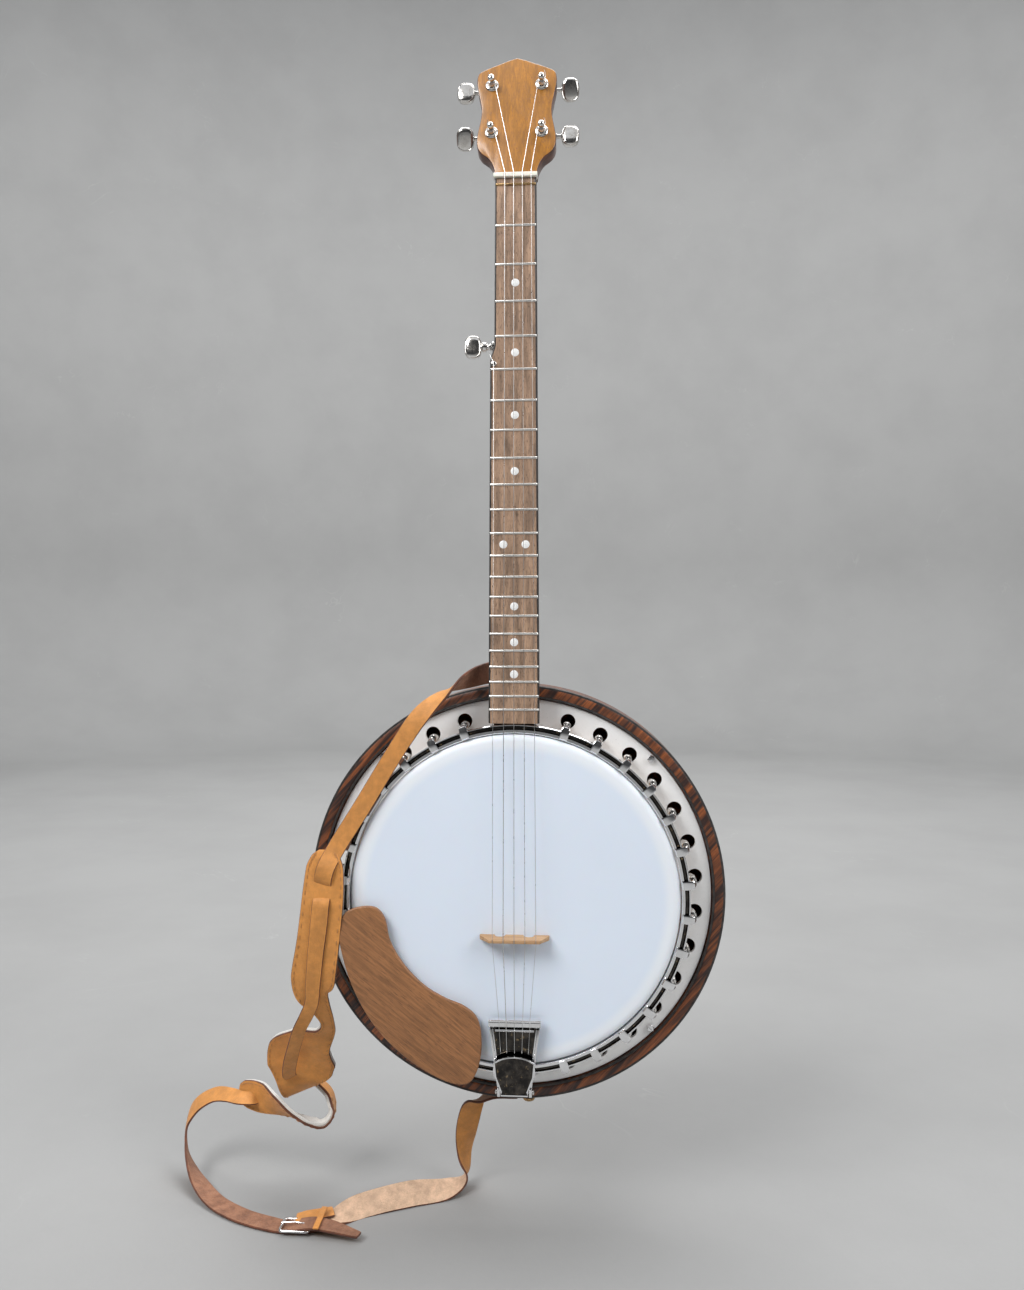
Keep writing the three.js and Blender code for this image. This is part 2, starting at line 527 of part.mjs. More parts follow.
let buckle = solid(box(-202, -170, -119, -88, -283.3, -280.9));
buckle = buckle.subtract(solid(box(-199, -173, -116, -91, -290, -270)));
add('strap_buckle', buckle, 'chrome');
add('strap_keeper', box(-169.5, -164.5, -116, -84, -277, -275.4), 'leather');
const buttonProfile = [[0, -181.9], [4, -181.9], [4, -187.4], [2.4, -187.4], [2.4, -191.6], [5.4, -191.6], [5.4, -195], [0, -195]];
const strapButton = new THREE.LatheGeometry(buttonProfile.map(([r, h]) => new THREE.Vector2(r, h)), 16);
strapButton.rotateX(Math.PI / 2);
strapButton.translate(10, -43, 0);
add('strap_button', strapButton, 'brass');

export default banjo;
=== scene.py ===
"""Visible pieces, finishes and stage of a five-string resonator banjo, built around its frame.

Pieces are drawn in millimetres, as [x, depth, height]: x to the right of the player's view, depth (Y)
towards the resonator's back, height (Z) up the neck. piece() turns them into metres.
"""
import functools
import math

import bmesh
import bpy
from mathutils import Matrix, Vector


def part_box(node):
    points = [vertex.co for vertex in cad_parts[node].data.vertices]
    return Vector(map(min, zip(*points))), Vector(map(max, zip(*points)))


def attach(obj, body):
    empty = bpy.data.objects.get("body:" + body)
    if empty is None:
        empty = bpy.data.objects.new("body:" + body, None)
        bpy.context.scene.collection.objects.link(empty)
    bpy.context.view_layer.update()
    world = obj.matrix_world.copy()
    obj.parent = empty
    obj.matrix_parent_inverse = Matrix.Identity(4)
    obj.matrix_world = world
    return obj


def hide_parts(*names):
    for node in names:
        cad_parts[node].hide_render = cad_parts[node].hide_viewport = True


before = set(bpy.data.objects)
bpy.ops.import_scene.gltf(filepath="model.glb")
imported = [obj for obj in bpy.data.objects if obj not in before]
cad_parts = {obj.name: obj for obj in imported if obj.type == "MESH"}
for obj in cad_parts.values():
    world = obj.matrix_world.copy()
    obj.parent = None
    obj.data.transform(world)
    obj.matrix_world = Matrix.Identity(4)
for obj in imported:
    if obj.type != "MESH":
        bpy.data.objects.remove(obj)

bl_info = {
    "name": "Resonator Banjo",
    "version": (1, 0, 0),
    "blender": (4, 5, 0),
    "location": "View3D > Sidebar > Banjo",
    "description": "Builds the visible pieces of a five-string resonator banjo around its frame",
    "category": "Add Mesh",
}

MM = 0.001
TURNED_STEPS = 160
HEAD_FACE = -98.6
NECK = Matrix.Translation((0, -101, 149.8)) @ Matrix.Rotation(math.radians(-3), 4, "X")
HEADSTOCK = Matrix.Translation((0, -73, 625.6)) @ Matrix.Rotation(math.radians(-10), 4, "X")
POT = Matrix()


# ---------------------------------------------------------------- settings
def length(name, description, default):
    return bpy.props.FloatProperty(name=name, description=description, default=default, unit="LENGTH")


def colour(name, description, default):
    return bpy.props.FloatVectorProperty(
        name=name, description=description, default=default, subtype="COLOR", size=3, min=0, max=1)


class BanjoSizes(bpy.types.PropertyGroup):
    resonator_radius: length("Resonator radius", "Outside of the resonator's wall",
                             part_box("resonator_bowl")[1].x)
    hoop_radius: length("Hoop radius", "Outside of the tension hoop", 0.149)
    hook_ring: length("Hook ring", "Circle on which the hooks stand", 0.153)
    hole_ring: length("Hole ring", "Circle on which the flange's holes lie", 0.156)
    hole_radius: length("Hole radius", "Radius of a hole in the flange", 0.0065)
    scale_length: length("Scale length", "From the zero fret to the bridge", 0.646)
    dot_radius: length("Dot radius", "Radius of a position dot", 0.0035)
    stitch_length: length("Stitch length", "Length of one stitch on the shoulder pad", 0.0034)
    hook_count: bpy.props.IntProperty(name="Hooks", description="Hooks round the hoop", default=30)
    fret_count: bpy.props.IntProperty(name="Frets", description="Frets after the zero fret", default=21)


class BanjoColours(bpy.types.PropertyGroup):
    rosewood: colour("Rosewood", "Light streaks of the resonator's wood", (0.33, 0.088, 0.018))
    headstock: colour("Headstock", "Face of the headstock", (0.46, 0.185, 0.014))
    neck: colour("Neck", "Back of the neck and the headstock's sides", (0.13, 0.04, 0.018))
    board: colour("Fretboard", "Light streaks of the fretboard", (0.45, 0.285, 0.185))
    walnut: colour("Armrest", "Light streaks of the armrest", (0.36, 0.155, 0.056))
    head: colour("Head", "Coated film of the head", (0.70, 0.76, 0.86))
    leather: colour("Leather", "Grain side of the strap", (0.69, 0.29, 0.065))
    flesh: colour("Flesh side", "Rough side of the strap", (0.74, 0.5, 0.34))
    floor: colour("Floor", "Studio floor and backdrop", (0.29, 0.29, 0.287))


def size(name):
    """One of the sizes, in millimetres."""
    return getattr(bpy.context.scene.banjo_sizes, name) / MM


def tint(name, value=1.0):
    """One of the colours, made lighter or darker."""
    return tuple(min(c * value, 1) for c in getattr(bpy.context.scene.banjo_colours, name))


# ---------------------------------------------------------------- mesh work
def at(place, x, depth, height):
    return place @ Vector((x, depth, height))


def spline(points, steps, closed=False):
    """Points along a smooth curve through the given ones, the same number of steps in all."""
    given = [Vector(p) for p in points]
    count = len(given)
    spans = count if closed else count - 1
    made = []
    for i in range(steps + (0 if closed else 1)):
        k = min(int(i / steps * spans), spans - 1)
        w = i / steps * spans - k
        b, c = given[k], given[(k + 1) % count]
        a = given[k - 1] if closed or k else b * 2 - c
        d = given[(k + 2) % count] if closed or k + 2 < count else c * 2 - b
        d0, d1, d2 = (max((q - p).length, 1e-3) ** 0.5 for p, q in ((a, b), (b, c), (c, d)))
        into = ((b - a) / d0 - (c - a) / (d0 + d1) + (c - b) / d1) * d1
        out = ((c - b) / d1 - (d - b) / (d1 + d2) + (d - c) / d2) * d1
        made.append((b * 2 - c * 2 + into + out) * w ** 3 + (c * 3 - b * 3 - into * 2 - out) * w ** 2
                    + into * w + b)
    return made


def lathe(bm, profile, place=POT, steps=TURNED_STEPS, teeth=None):
    """Turns a profile of [radius, depth] about the Y axis; one that starts off the axis is closed.

    teeth gives, for a point of the profile, how many notches are cut round it and how deep they are.
    """
    rings = []
    for i, (radius, depth) in enumerate(profile):
        if radius == 0:
            rings.append([bm.verts.new(at(place, 0, depth, 0))] * steps)
            continue
        count, cut = (teeth or {}).get(i, (1, 0))
        ring = []
        for k in range(steps):
            reach = radius - cut * ((k * count / steps) % 1 >= 0.5)
            turn = k / steps * math.tau
            ring.append(bm.verts.new(at(place, reach * math.sin(turn), depth, reach * math.cos(turn))))
        rings.append(ring)
    follows = rings[1:] + rings[:1] if profile[0][0] > 0 else rings[1:]
    for a, b in zip(rings, follows):
        for k in range(steps):
            m = (k + 1) % steps
            bm.faces.new(list(dict.fromkeys((a[k], a[m], b[m], b[k]))))


def rod(bm, start, end, profile, steps=24):
    """Turns a profile of [radius, distance from start] about the line from start to end."""
    axis = (Vector(end) - Vector(start)).normalized()
    lathe(bm, profile, Matrix.Translation(start) @ axis.to_track_quat("Y", "Z").to_matrix().to_4x4(), steps)


def plate(bm, outline, front, back, place=POT):
    """A flat plate with an [x, height] outline, between two depths."""
    near = [bm.verts.new(at(place, p[0], front, p[1])) for p in outline]
    far = [bm.verts.new(at(place, p[0], back, p[1])) for p in outline]
    faces = [bm.faces.new(near), bm.faces.new(far[::-1])]
    for i in range(len(near)):
        k = (i + 1) % len(near)
        faces.append(bm.faces.new((near[i], far[i], far[k], near[k])))
    return faces


def block(bm, x, depth, height, place=POT):
    plate(bm, [(x[0], height[0]), (x[1], height[0]), (x[1], height[1]), (x[0], height[1])], *depth, place)


def skin(bm, rings, ends=True):
    """Joins closed rings of the same number of points, and closes both ends."""
    rows = [[bm.verts.new(p) for p in ring] for ring in rings]
    for a, b in zip(rows, rows[1:]):
        for k in range(len(a)):
            m = (k + 1) % len(a)
            bm.faces.new((a[k], a[m], b[m], b[k]))
    if ends:
        bm.faces.new(rows[0][::-1])
        bm.faces.new(rows[-1])


def frames(route, sides=None):
    """The tangent, side and normal at each point of a route; the side turns as little as it can."""
    made = []
    side = None
    for i, point in enumerate(route):
        tangent = (route[min(i + 1, len(route) - 1)] - route[max(i - 1, 0)]).normalized()
        if sides:
            side = sides[i].copy()
        elif side is None:
            side = tangent.orthogonal()
        side = (side - tangent * side.dot(tangent)).normalized()
        made.append((point, tangent, side, tangent.cross(side)))
    return made


def sweep(bm, route, section, sides=None):
    """Carries a section along a route. section(i) gives [across, out] points at step i."""
    rings = []
    for i, (point, _, side, normal) in enumerate(frames(route, sides)):
        rings.append([point + side * a + normal * b for a, b in section(i)])
    skin(bm, rings)


def circle(radius, count=10):
    return [(radius * math.cos(math.tau * k / count), radius * math.sin(math.tau * k / count))
            for k in range(count)]


def tube(bm, route, radius, count=10):
    sweep(bm, [Vector(p) for p in route], lambda i: circle(radius, count))


def rounded(corners, radius, steps=4):
    """An outline with its corners rounded. A corner may carry its own radius as a third number."""
    made = []
    for i, corner in enumerate(corners):
        here = Vector(corner[:2])
        before, after = Vector(corners[i - 1][:2]), Vector(corners[(i + 1) % len(corners)][:2])
        reach = corner[2] if len(corner) > 2 else radius
        into, out = (here - before), (after - here)
        cut = min(reach, into.length * 0.48, out.length * 0.48)
        start, end = here - into.normalized() * cut, here + out.normalized() * cut
        for k in range(steps + 1):
            t = k / steps
            made.append(start * (1 - t) ** 2 + here * 2 * t * (1 - t) + end * t ** 2)
    return made


def inset(outline, distance):
    """The outline moved inwards, for one that runs anticlockwise."""
    made = []
    for i, here in enumerate(outline):
        before, after = Vector(outline[i - 1]), Vector(outline[(i + 1) % len(outline)])
        along = (after - before).normalized()
        made.append(Vector(here) + Vector((-along.y, along.x)) * distance)
    return made


def combine(first, second, operation):
    """Joins two closed meshes, or cuts one with the other."""
    both = []
    for bm in (first, second):
        bmesh.ops.recalc_face_normals(bm, faces=bm.faces)
        mesh = bpy.data.meshes.new("workpiece")
        bm.to_mesh(mesh)
        bm.free()
        both.append(bpy.data.objects.new("workpiece", mesh))
        bpy.context.scene.collection.objects.link(both[-1])
    modifier = both[0].modifiers.new("combine", "BOOLEAN")
    modifier.operation = operation
    modifier.solver = "EXACT"
    modifier.object = both[1]
    made = bmesh.new()
    made.from_object(both[0], bpy.context.evaluated_depsgraph_get())
    for item in both:
        mesh = item.data
        bpy.data.objects.remove(item)
        bpy.data.meshes.remove(mesh)
    return made


def soften(bm, radius, segments=2, angle=30):
    """Rounds every edge that is sharper than the angle."""
    bmesh.ops.recalc_face_normals(bm, faces=bm.faces)
    sharp = [e for e in bm.edges if len(e.link_faces) == 2 and e.calc_face_angle() > math.radians(angle)]
    bmesh.ops.bevel(bm, geom=sharp, offset=radius, offset_type="OFFSET", segments=segments, profile=0.5,
                    affect="EDGES", clamp_overlap=True)


def piece(name, bm, finishes, stands_for=(), body="banjo", choose=None):
    """Makes a piece of the object from a mesh in millimetres, and hangs it on its body."""
    finishes = finishes if isinstance(finishes, list) else [finishes]
    bmesh.ops.recalc_face_normals(bm, faces=bm.faces)
    bm.normal_update()
    for face in bm.faces:
        face.smooth = True
        if choose:
            face.material_index = choose(face)
    for edge in bm.edges:
        edge.smooth = len(edge.link_faces) == 2 and edge.calc_face_angle() < math.radians(38)
    mesh = bpy.data.meshes.new(name)
    bm.to_mesh(mesh)
    bm.free()
    mesh.transform(Matrix.Scale(MM, 4))
    for finish in finishes:
        mesh.materials.append(finish)
    made = bpy.data.objects.new(name, mesh)
    bpy.context.scene.collection.objects.link(made)
    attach(made, body)
    if stands_for:
        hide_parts(*stands_for)
    return made


def turned_place(angle, radius, depth):
    """A place on the pot's circle at that clock angle, with +Z pointing outwards."""
    return Matrix.Rotation(math.radians(angle), 4, "Y") @ Matrix.Translation((0, depth, radius))


# ---------------------------------------------------------------- shader work
def fill(tree, node, name, value):
    """Sets a socket, or wires another node's output to it. Names such as i0 and i1 are positions."""
    socket = node.inputs[int(name[1:])] if name[1:].isdigit() else node.inputs[name.replace("_", " ")]
    if isinstance(value, bpy.types.NodeSocket):
        tree.links.new(value, socket)
    elif socket.type == "RGBA" and len(value) == 3:
        socket.default_value = (*value, 1)
    else:
        socket.default_value = value


def add(tree, kind, settings=None, **sockets):
    node = tree.nodes.new("ShaderNode" + kind)
    for option, value in (settings or {}).items():
        setattr(node, option, value)
    for name, value in sockets.items():
        fill(tree, node, name, value)
    return node


def sums(tree, operation, a, b=0.0, c=0.0):
    return add(tree, "Math", {"operation": operation}, i0=a, i1=b, i2=c).outputs[0]


def noise(tree, vector, scale, detail=3.0, roughness=0.5, distortion=0.0):
    return add(tree, "TexNoise", Vector=vector, Scale=scale, Detail=detail, Roughness=roughness,
               Distortion=distortion).outputs[0]


def mapped(tree, vector, scale=(1, 1, 1), turn=(0, 0, 0)):
    turn = tuple(math.radians(t) for t in turn)
    return add(tree, "Mapping", Vector=vector, Scale=scale, Rotation=turn).outputs[0]


def between(tree, value, low, high):
    """0 below low, 1 above high, smooth in between."""
    return add(tree, "MapRange", {"interpolation_type": "SMOOTHSTEP"}, Value=value, From_Min=low,
               From_Max=high).outputs[0]


def mixed(tree, share, a, b, blend="MIX"):
    return add(tree, "Mix", {"data_type": "RGBA", "blend_type": blend}, i0=share, i6=a, i7=b).outputs[2]


def ramp(tree, value, stops):
    node = add(tree, "ValToRGB", Fac=value)
    marks = node.color_ramp.elements
    while len(marks) < len(stops):
        marks.new(0.5)
    for mark, (position, shade) in zip(marks, stops):
        mark.position = position
        mark.color = (*shade, 1)
    return node.outputs[0]


def bumped(tree, shader, height, distance, strength=1.0, under=None):
    node = add(tree, "Bump", Height=height, Distance=distance, Strength=strength)
    if under:
        fill(tree, node, "Normal", under)
    fill(tree, shader, "Normal", node.outputs[0])
    return node.outputs[0]


def surface(name, **sockets):
    """A new material, its tree, its shader and its object coordinates."""
    made = bpy.data.materials.new(name)
    made.use_nodes = True
    shader = made.node_tree.nodes["Principled BSDF"]
    for socket, value in sockets.items():
        fill(made.node_tree, shader, socket, value)
    return made, made.node_tree, shader, add(made.node_tree, "TexCoord").outputs["Object"]


def effect(name, inputs, outputs):
    """An empty shader node group with named inputs and outputs."""
    group = bpy.data.node_groups.new(name, "ShaderNodeTree")
    for label, default in inputs.items():
        kind = "NodeSocketVector" if default is None else "NodeSocketFloat"
        socket = group.interface.new_socket(label, in_out="INPUT", socket_type=kind)
        if default is not None:
            socket.default_value = default
    for label in outputs:
        group.interface.new_socket(label, in_out="OUTPUT", socket_type="NodeSocketFloat")
    return group, group.nodes.new("NodeGroupInput").outputs, group.nodes.new("NodeGroupOutput")


def use(tree, group, **sockets):
    node = tree.nodes.new("ShaderNodeGroup")
    node.node_tree = group
    for name, value in sockets.items():
        fill(tree, node, name, value)
    return node.outputs


@functools.cache
def wood_grain():
    """Grain that runs along Z: broad figure, fine lines and short open pores."""
    group, given, out = effect("wood_grain", {"Vector": None, "Figure": 9.0, "Lines": 1.2, "Pore": 0.4},
                               ["Figure", "Lines", "Pores", "Height"])

    def stretched(spacing, ratio, detail, distortion=0.0):
        share = add(group, "CombineXYZ", X=1.0, Y=1.0, Z=ratio).outputs[0]
        along = add(group, "VectorMath", {"operation": "MULTIPLY"}, i0=given["Vector"], i1=share).outputs[0]
        return noise(group, along, sums(group, "DIVIDE", 1000.0, given[spacing]), detail, 0.55, distortion)

    figure = stretched("Figure", 0.07, 3.0, 0.6)
    lines = stretched("Lines", 0.025, 2.0)
    pores = between(group, stretched("Pore", 0.05, 1.0), 0.60, 0.68)
    fill(group, out, "Figure", figure)
    fill(group, out, "Lines", lines)
    fill(group, out, "Pores", pores)
    fill(group, out, "Height", sums(group, "SUBTRACT", sums(group, "MULTIPLY", lines, 0.3), pores))
    return group


@functools.cache
def fine_scratches():
    """Thin hairline scratches in two directions."""
    group, given, out = effect("fine_scratches", {"Vector": None, "Spacing": 3.0}, ["Mask"])
    masks = []
    for turn in ((20, 35, 10), (-50, 15, 75)):
        along = mapped(group, given["Vector"], (1, 1, 0.03), turn)
        lines = noise(group, along, sums(group, "DIVIDE", 1000.0, given["Spacing"]), 1.0)
        away = sums(group, "ABSOLUTE", sums(group, "SUBTRACT", lines, 0.5))
        masks.append(sums(group, "SUBTRACT", 1.0, between(group, away, 0.0, 0.01)))
    fill(group, out, "Mask", sums(group, "MAXIMUM", *masks))
    return group


@functools.cache
def handling_marks():
    """Cloudy patches where hands and dust have dulled a surface."""
    group, given, out = effect("handling_marks", {"Vector": None, "Spacing": 30.0}, ["Mask"])
    scale = sums(group, "DIVIDE", 1000.0, given["Spacing"])
    fill(group, out, "Mask", between(group, noise(group, given["Vector"], scale, 5.0, 0.62), 0.38, 0.68))
    return group


@functools.cache
def edge_wear():
    """Rubbed edges, broken up so that the wear isn't even."""
    group, given, out = effect("edge_wear", {"Vector": None, "Spread": 0.05, "Spacing": 4.0}, ["Mask"])
    point = add(group, "NewGeometry").outputs["Pointiness"]
    rise = sums(group, "DIVIDE", sums(group, "SUBTRACT", point, 0.51), given["Spread"])
    patches = noise(group, given["Vector"], sums(group, "DIVIDE", 1000.0, given["Spacing"]), 4.0)
    worn = sums(group, "MULTIPLY", between(group, rise, 0.0, 1.0), between(group, patches, 0.35, 0.6))
    fill(group, out, "Mask", worn)
    return group


@functools.cache
def leather_grain():
    """Pebbled hide with creases, and the uneven take-up of its dye."""
    group, given, out = effect("leather_grain", {"Vector": None, "Pebble": 1.3},
                               ["Height", "Mottle", "Crease"])
    scale = sums(group, "DIVIDE", 1000.0, given["Pebble"])
    swayed = add(group, "VectorMath", {"operation": "MULTIPLY_ADD"},
                 i0=add(group, "TexNoise", Vector=given["Vector"], Scale=260.0).outputs[1],
                 i1=(0.002, 0.002, 0.002), i2=given["Vector"]).outputs[0]
    cells = add(group, "TexVoronoi", {"feature": "DISTANCE_TO_EDGE"}, Vector=swayed, Scale=scale).outputs[0]
    pebbles = between(group, cells, 0.0, 0.22)
    fine = noise(group, given["Vector"], sums(group, "MULTIPLY", scale, 3.2), 3.0)
    crease = noise(group, mapped(group, given["Vector"], (1, 1, 0.25), (0, 35, 0)), 210.0, 4.0, 0.6, 1.5)
    fill(group, out, "Crease", between(group, crease, 0.56, 0.7))
    fill(group, out, "Height", sums(group, "MULTIPLY_ADD", fine, 0.4, pebbles))
    fill(group, out, "Mottle", noise(group, given["Vector"], 95.0, 6.0, 0.68))
    return group


# ---------------------------------------------------------------- finishes
def wood(name, light, dark, pore_shade, turn, spacing, gloss, relief, flare=(0.36, 0.64)):
    """A wood whose grain runs along Z once its coordinates are turned."""
    made, tree, shader, place = surface(name, Roughness=0.5, Coat_Roughness=0.12)
    along = mapped(tree, place, (1, 1, 1), turn)
    figure, lines, pores = spacing
    grain = use(tree, wood_grain(), Vector=along, Figure=figure, Lines=lines, Pore=pores)
    body = ramp(tree, grain["Figure"], [(flare[0], dark), (flare[1], light)])
    lined = mixed(tree, sums(tree, "MULTIPLY", between(tree, grain["Lines"], 0.45, 0.75), 0.55), body, dark)
    pored = mixed(tree, sums(tree, "MULTIPLY", grain["Pores"], 0.7), lined, pore_shade)
    fill(tree, shader, "Base_Color", pored)
    marks = use(tree, handling_marks(), Vector=place, Spacing=26.0)["Mask"]
    fill(tree, shader, "Roughness", sums(tree, "MULTIPLY_ADD", marks, 0.14, 0.62 - 0.45 * gloss))
    fill(tree, shader, "Coat_Weight", sums(tree, "MULTIPLY_ADD", marks, -0.2 * gloss, gloss))
    bumped(tree, shader, grain["Height"], relief)
    return made


@functools.cache
def rosewood():
    light = tint("rosewood")
    return wood("rosewood_lacquered", light, (0.022, 0.006, 0.003), (0.006, 0.002, 0.001), (0, -42, 0),
                (5.0, 1.3, 0.5), 0.35, 0.00004, (0.4, 0.66))


@functools.cache
def headstock_wood():
    return wood("headstock_amber", tint("headstock"), tint("headstock", 0.66), (0.2, 0.07, 0.018),
                (0, 0, 0),
                (3.0, 0.9, 0.5), 0.6, 0.00003)


@functools.cache
def neck_wood():
    return wood("neck_mahogany", tint("neck"), tint("neck", 0.42), (0.012, 0.004, 0.002), (0, 0, 0),
                (8.0, 1.2, 0.5), 0.5, 0.00003)


@functools.cache
def board_wood():
    return wood("fretboard_walnut", tint("board"), tint("board", 0.46), (0.05, 0.025, 0.012), (-3, 0, 0),
                (5.5, 1.0, 0.42), 0.12, 0.00006)


@functools.cache
def rim_wood():
    return wood("rim_maple", (0.55, 0.33, 0.15), (0.4, 0.2, 0.08), (0.2, 0.09, 0.03), (90, 0, 0),
                (6.0, 1.4, 0.5), 0.4, 0.00003)


@functools.cache
def bridge_wood():
    return wood("bridge_maple", (0.56, 0.36, 0.2), (0.4, 0.23, 0.11), (0.3, 0.15, 0.07), (0, 90, 0),
                (4.0, 0.9, 0.35), 0.08, 0.00003)


@functools.cache
def armrest_wood():
    return wood("armrest_walnut", tint("walnut"), tint("walnut", 0.6), (0.08, 0.035, 0.016), (0, 52, 0),
                (2.4, 0.8, 0.45), 0.25, 0.00004)


@functools.cache
def chrome():
    made, tree, shader, place = surface("chrome_polished", Metallic=1.0, Base_Color=(0.86, 0.86, 0.87))
    scratches = use(tree, fine_scratches(), Vector=place, Spacing=2.5)["Mask"]
    marks = use(tree, handling_marks(), Vector=place, Spacing=12.0)["Mask"]
    fill(tree, shader, "Base_Color", mixed(tree, sums(tree, "MULTIPLY", marks, 0.3), (0.88, 0.88, 0.89),
                                           (0.66, 0.64, 0.61)))
    rough = sums(tree, "MULTIPLY_ADD", marks, 0.09, 0.06)
    fill(tree, shader, "Roughness", sums(tree, "MULTIPLY_ADD", scratches, 0.12, rough))
    return made


@functools.cache
def dark_painted_chrome():
    """Chrome painted near-black: a painted reflection of a dark room on the tailpiece's mirror faces, and
    painted shade in the tailpiece's well and the hoop's groove. The brassy rubbed spots and handling marks
    are real wear.
    """
    made, tree, shader, place = surface("chrome_smoked", Metallic=1.0)
    marks = use(tree, handling_marks(), Vector=place, Spacing=8.0)["Mask"]
    rubbed = between(tree, noise(tree, place, 260.0, 4.0, 0.7), 0.60, 0.66)
    # The near-black base is painted reflection and painted shade. The brassy spots mixed over it are real
    # rubbed wear.
    fill(tree, shader, "Base_Color", mixed(tree, sums(tree, "MULTIPLY", rubbed, 0.5),
                                           mixed(tree, marks, (0.03, 0.029, 0.028), (0.09, 0.08, 0.07)),
                                           (0.55, 0.4, 0.22)))
    fill(tree, shader, "Roughness", sums(tree, "MULTIPLY_ADD", marks, 0.1, 0.08))
    return made


@functools.cache
def nickel():
    """The warmer plating of the tuning machines."""
    made, tree, shader, place = surface("nickel_polished", Metallic=1.0)
    scratches = use(tree, fine_scratches(), Vector=place, Spacing=1.8)["Mask"]
    marks = use(tree, handling_marks(), Vector=place, Spacing=7.0)["Mask"]
    fill(tree, shader, "Base_Color", mixed(tree, marks, (0.80, 0.78, 0.75), (0.60, 0.57, 0.53)))
    rough = sums(tree, "MULTIPLY_ADD", marks, 0.12, 0.09)
    fill(tree, shader, "Roughness", sums(tree, "MULTIPLY_ADD", scratches, 0.15, rough))
    return made


@functools.cache
def satin_metal():
    """The flange: plated sheet with a soft, slightly uneven sheen."""
    made, tree, shader, place = surface("flange_satin", Metallic=0.25)
    marks = use(tree, handling_marks(), Vector=place, Spacing=18.0)["Mask"]
    specks = between(tree, noise(tree, place, 900.0, 2.0), 0.68, 0.74)
    plated = mixed(tree, marks, (0.97, 0.97, 0.965), (0.92, 0.92, 0.915))
    fill(tree, shader, "Base_Color",
         mixed(tree, sums(tree, "MULTIPLY", specks, 0.4), plated, (0.4, 0.39, 0.37)))
    fill(tree, shader, "Roughness", sums(tree, "MULTIPLY_ADD", marks, 0.1, 0.42))
    bumped(tree, shader, noise(tree, place, 2200.0, 2.0), 0.00002)
    return made


@functools.cache
def wire_steel():
    made, tree, shader, place = surface("string_steel", Metallic=1.0)
    worn = noise(tree, place, 160.0, 2.0)
    fill(tree, shader, "Base_Color", mixed(tree, worn, (0.66, 0.66, 0.66), (0.46, 0.45, 0.44)))
    fill(tree, shader, "Roughness", sums(tree, "MULTIPLY_ADD", worn, 0.2, 0.2))
    return made


@functools.cache
def fret_metal():
    made, tree, shader, place = surface("fret_nickel", Metallic=1.0)
    rubbed = noise(tree, mapped(tree, place, (1, 0.2, 1)), 420.0, 3.0)
    fill(tree, shader, "Base_Color", mixed(tree, rubbed, (0.93, 0.92, 0.89), (0.74, 0.72, 0.68)))
    fill(tree, shader, "Roughness", sums(tree, "MULTIPLY_ADD", rubbed, 0.2, 0.2))
    return made


@functools.cache
def aged_brass():
    made, tree, shader, place = surface("brass_aged", Metallic=1.0)
    stain = use(tree, handling_marks(), Vector=place, Spacing=3.0)["Mask"]
    fill(tree, shader, "Base_Color", mixed(tree, stain, (0.62, 0.42, 0.2), (0.24, 0.14, 0.07)))
    fill(tree, shader, "Roughness", sums(tree, "MULTIPLY_ADD", stain, 0.3, 0.24))
    return made


@functools.cache
def film():
    """Coated drum head: a little cloudy, whiter where it is drawn over the edge."""
    made, tree, shader, place = surface("head_film", Coat_Roughness=0.3, Subsurface_Weight=0.08,
                                        Subsurface_Scale=0.004)
    split = add(tree, "SeparateXYZ", Vector=place).outputs
    across = add(tree, "CombineXYZ", X=split["X"], Y=0.0, Z=split["Z"]).outputs[0]
    radius = add(tree, "VectorMath", {"operation": "LENGTH"}, i0=across).outputs["Value"]
    cloud = noise(tree, place, 14.0, 4.0, 0.6)
    clouded = mixed(tree, sums(tree, "MULTIPLY", cloud, 0.35), tint("head", 1.06), tint("head", 0.9))
    crown = between(tree, radius, 0.124, 0.133)
    fill(tree, shader, "Base_Color",
         mixed(tree, sums(tree, "MULTIPLY", crown, 0.7), clouded, (0.86, 0.87, 0.9)))
    marks = use(tree, handling_marks(), Vector=place, Spacing=40.0)["Mask"]
    fill(tree, shader, "Roughness", sums(tree, "MULTIPLY_ADD", marks, 0.1, 0.42))
    bumped(tree, shader, noise(tree, place, 3200.0, 2.0), 0.000015)
    return made


@functools.cache
def binding():
    made, tree, shader, place = surface("binding_black", Coat_Roughness=0.25)
    marks = use(tree, handling_marks(), Vector=place, Spacing=9.0)["Mask"]
    worn = use(tree, edge_wear(), Vector=place, Spread=0.06)["Mask"]
    base = mixed(tree, marks, (0.012, 0.011, 0.011), (0.025, 0.022, 0.02))
    fill(tree, shader, "Base_Color",
         mixed(tree, sums(tree, "MULTIPLY", worn, 0.3), base, (0.12, 0.1, 0.09)))
    fill(tree, shader, "Roughness", sums(tree, "MULTIPLY_ADD", marks, 0.2, 0.38))
    fill(tree, shader, "Coat_Weight", sums(tree, "MULTIPLY_ADD", marks, -0.1, 0.2))
    return made


@functools.cache
def bone():
    made, tree, shader, place = surface("nut_bone", Subsurface_Weight=0.15, Subsurface_Scale=0.001)
    streaks = noise(tree, mapped(tree, place, (0.15, 1, 1)), 900.0, 3.0)
    fill(tree, shader, "Base_Color", mixed(tree, streaks, (0.9, 0.88, 0.82), (0.78, 0.73, 0.62)))
    fill(tree, shader, "Roughness", sums(tree, "MULTIPLY_ADD", streaks, 0.2, 0.3))
    return made


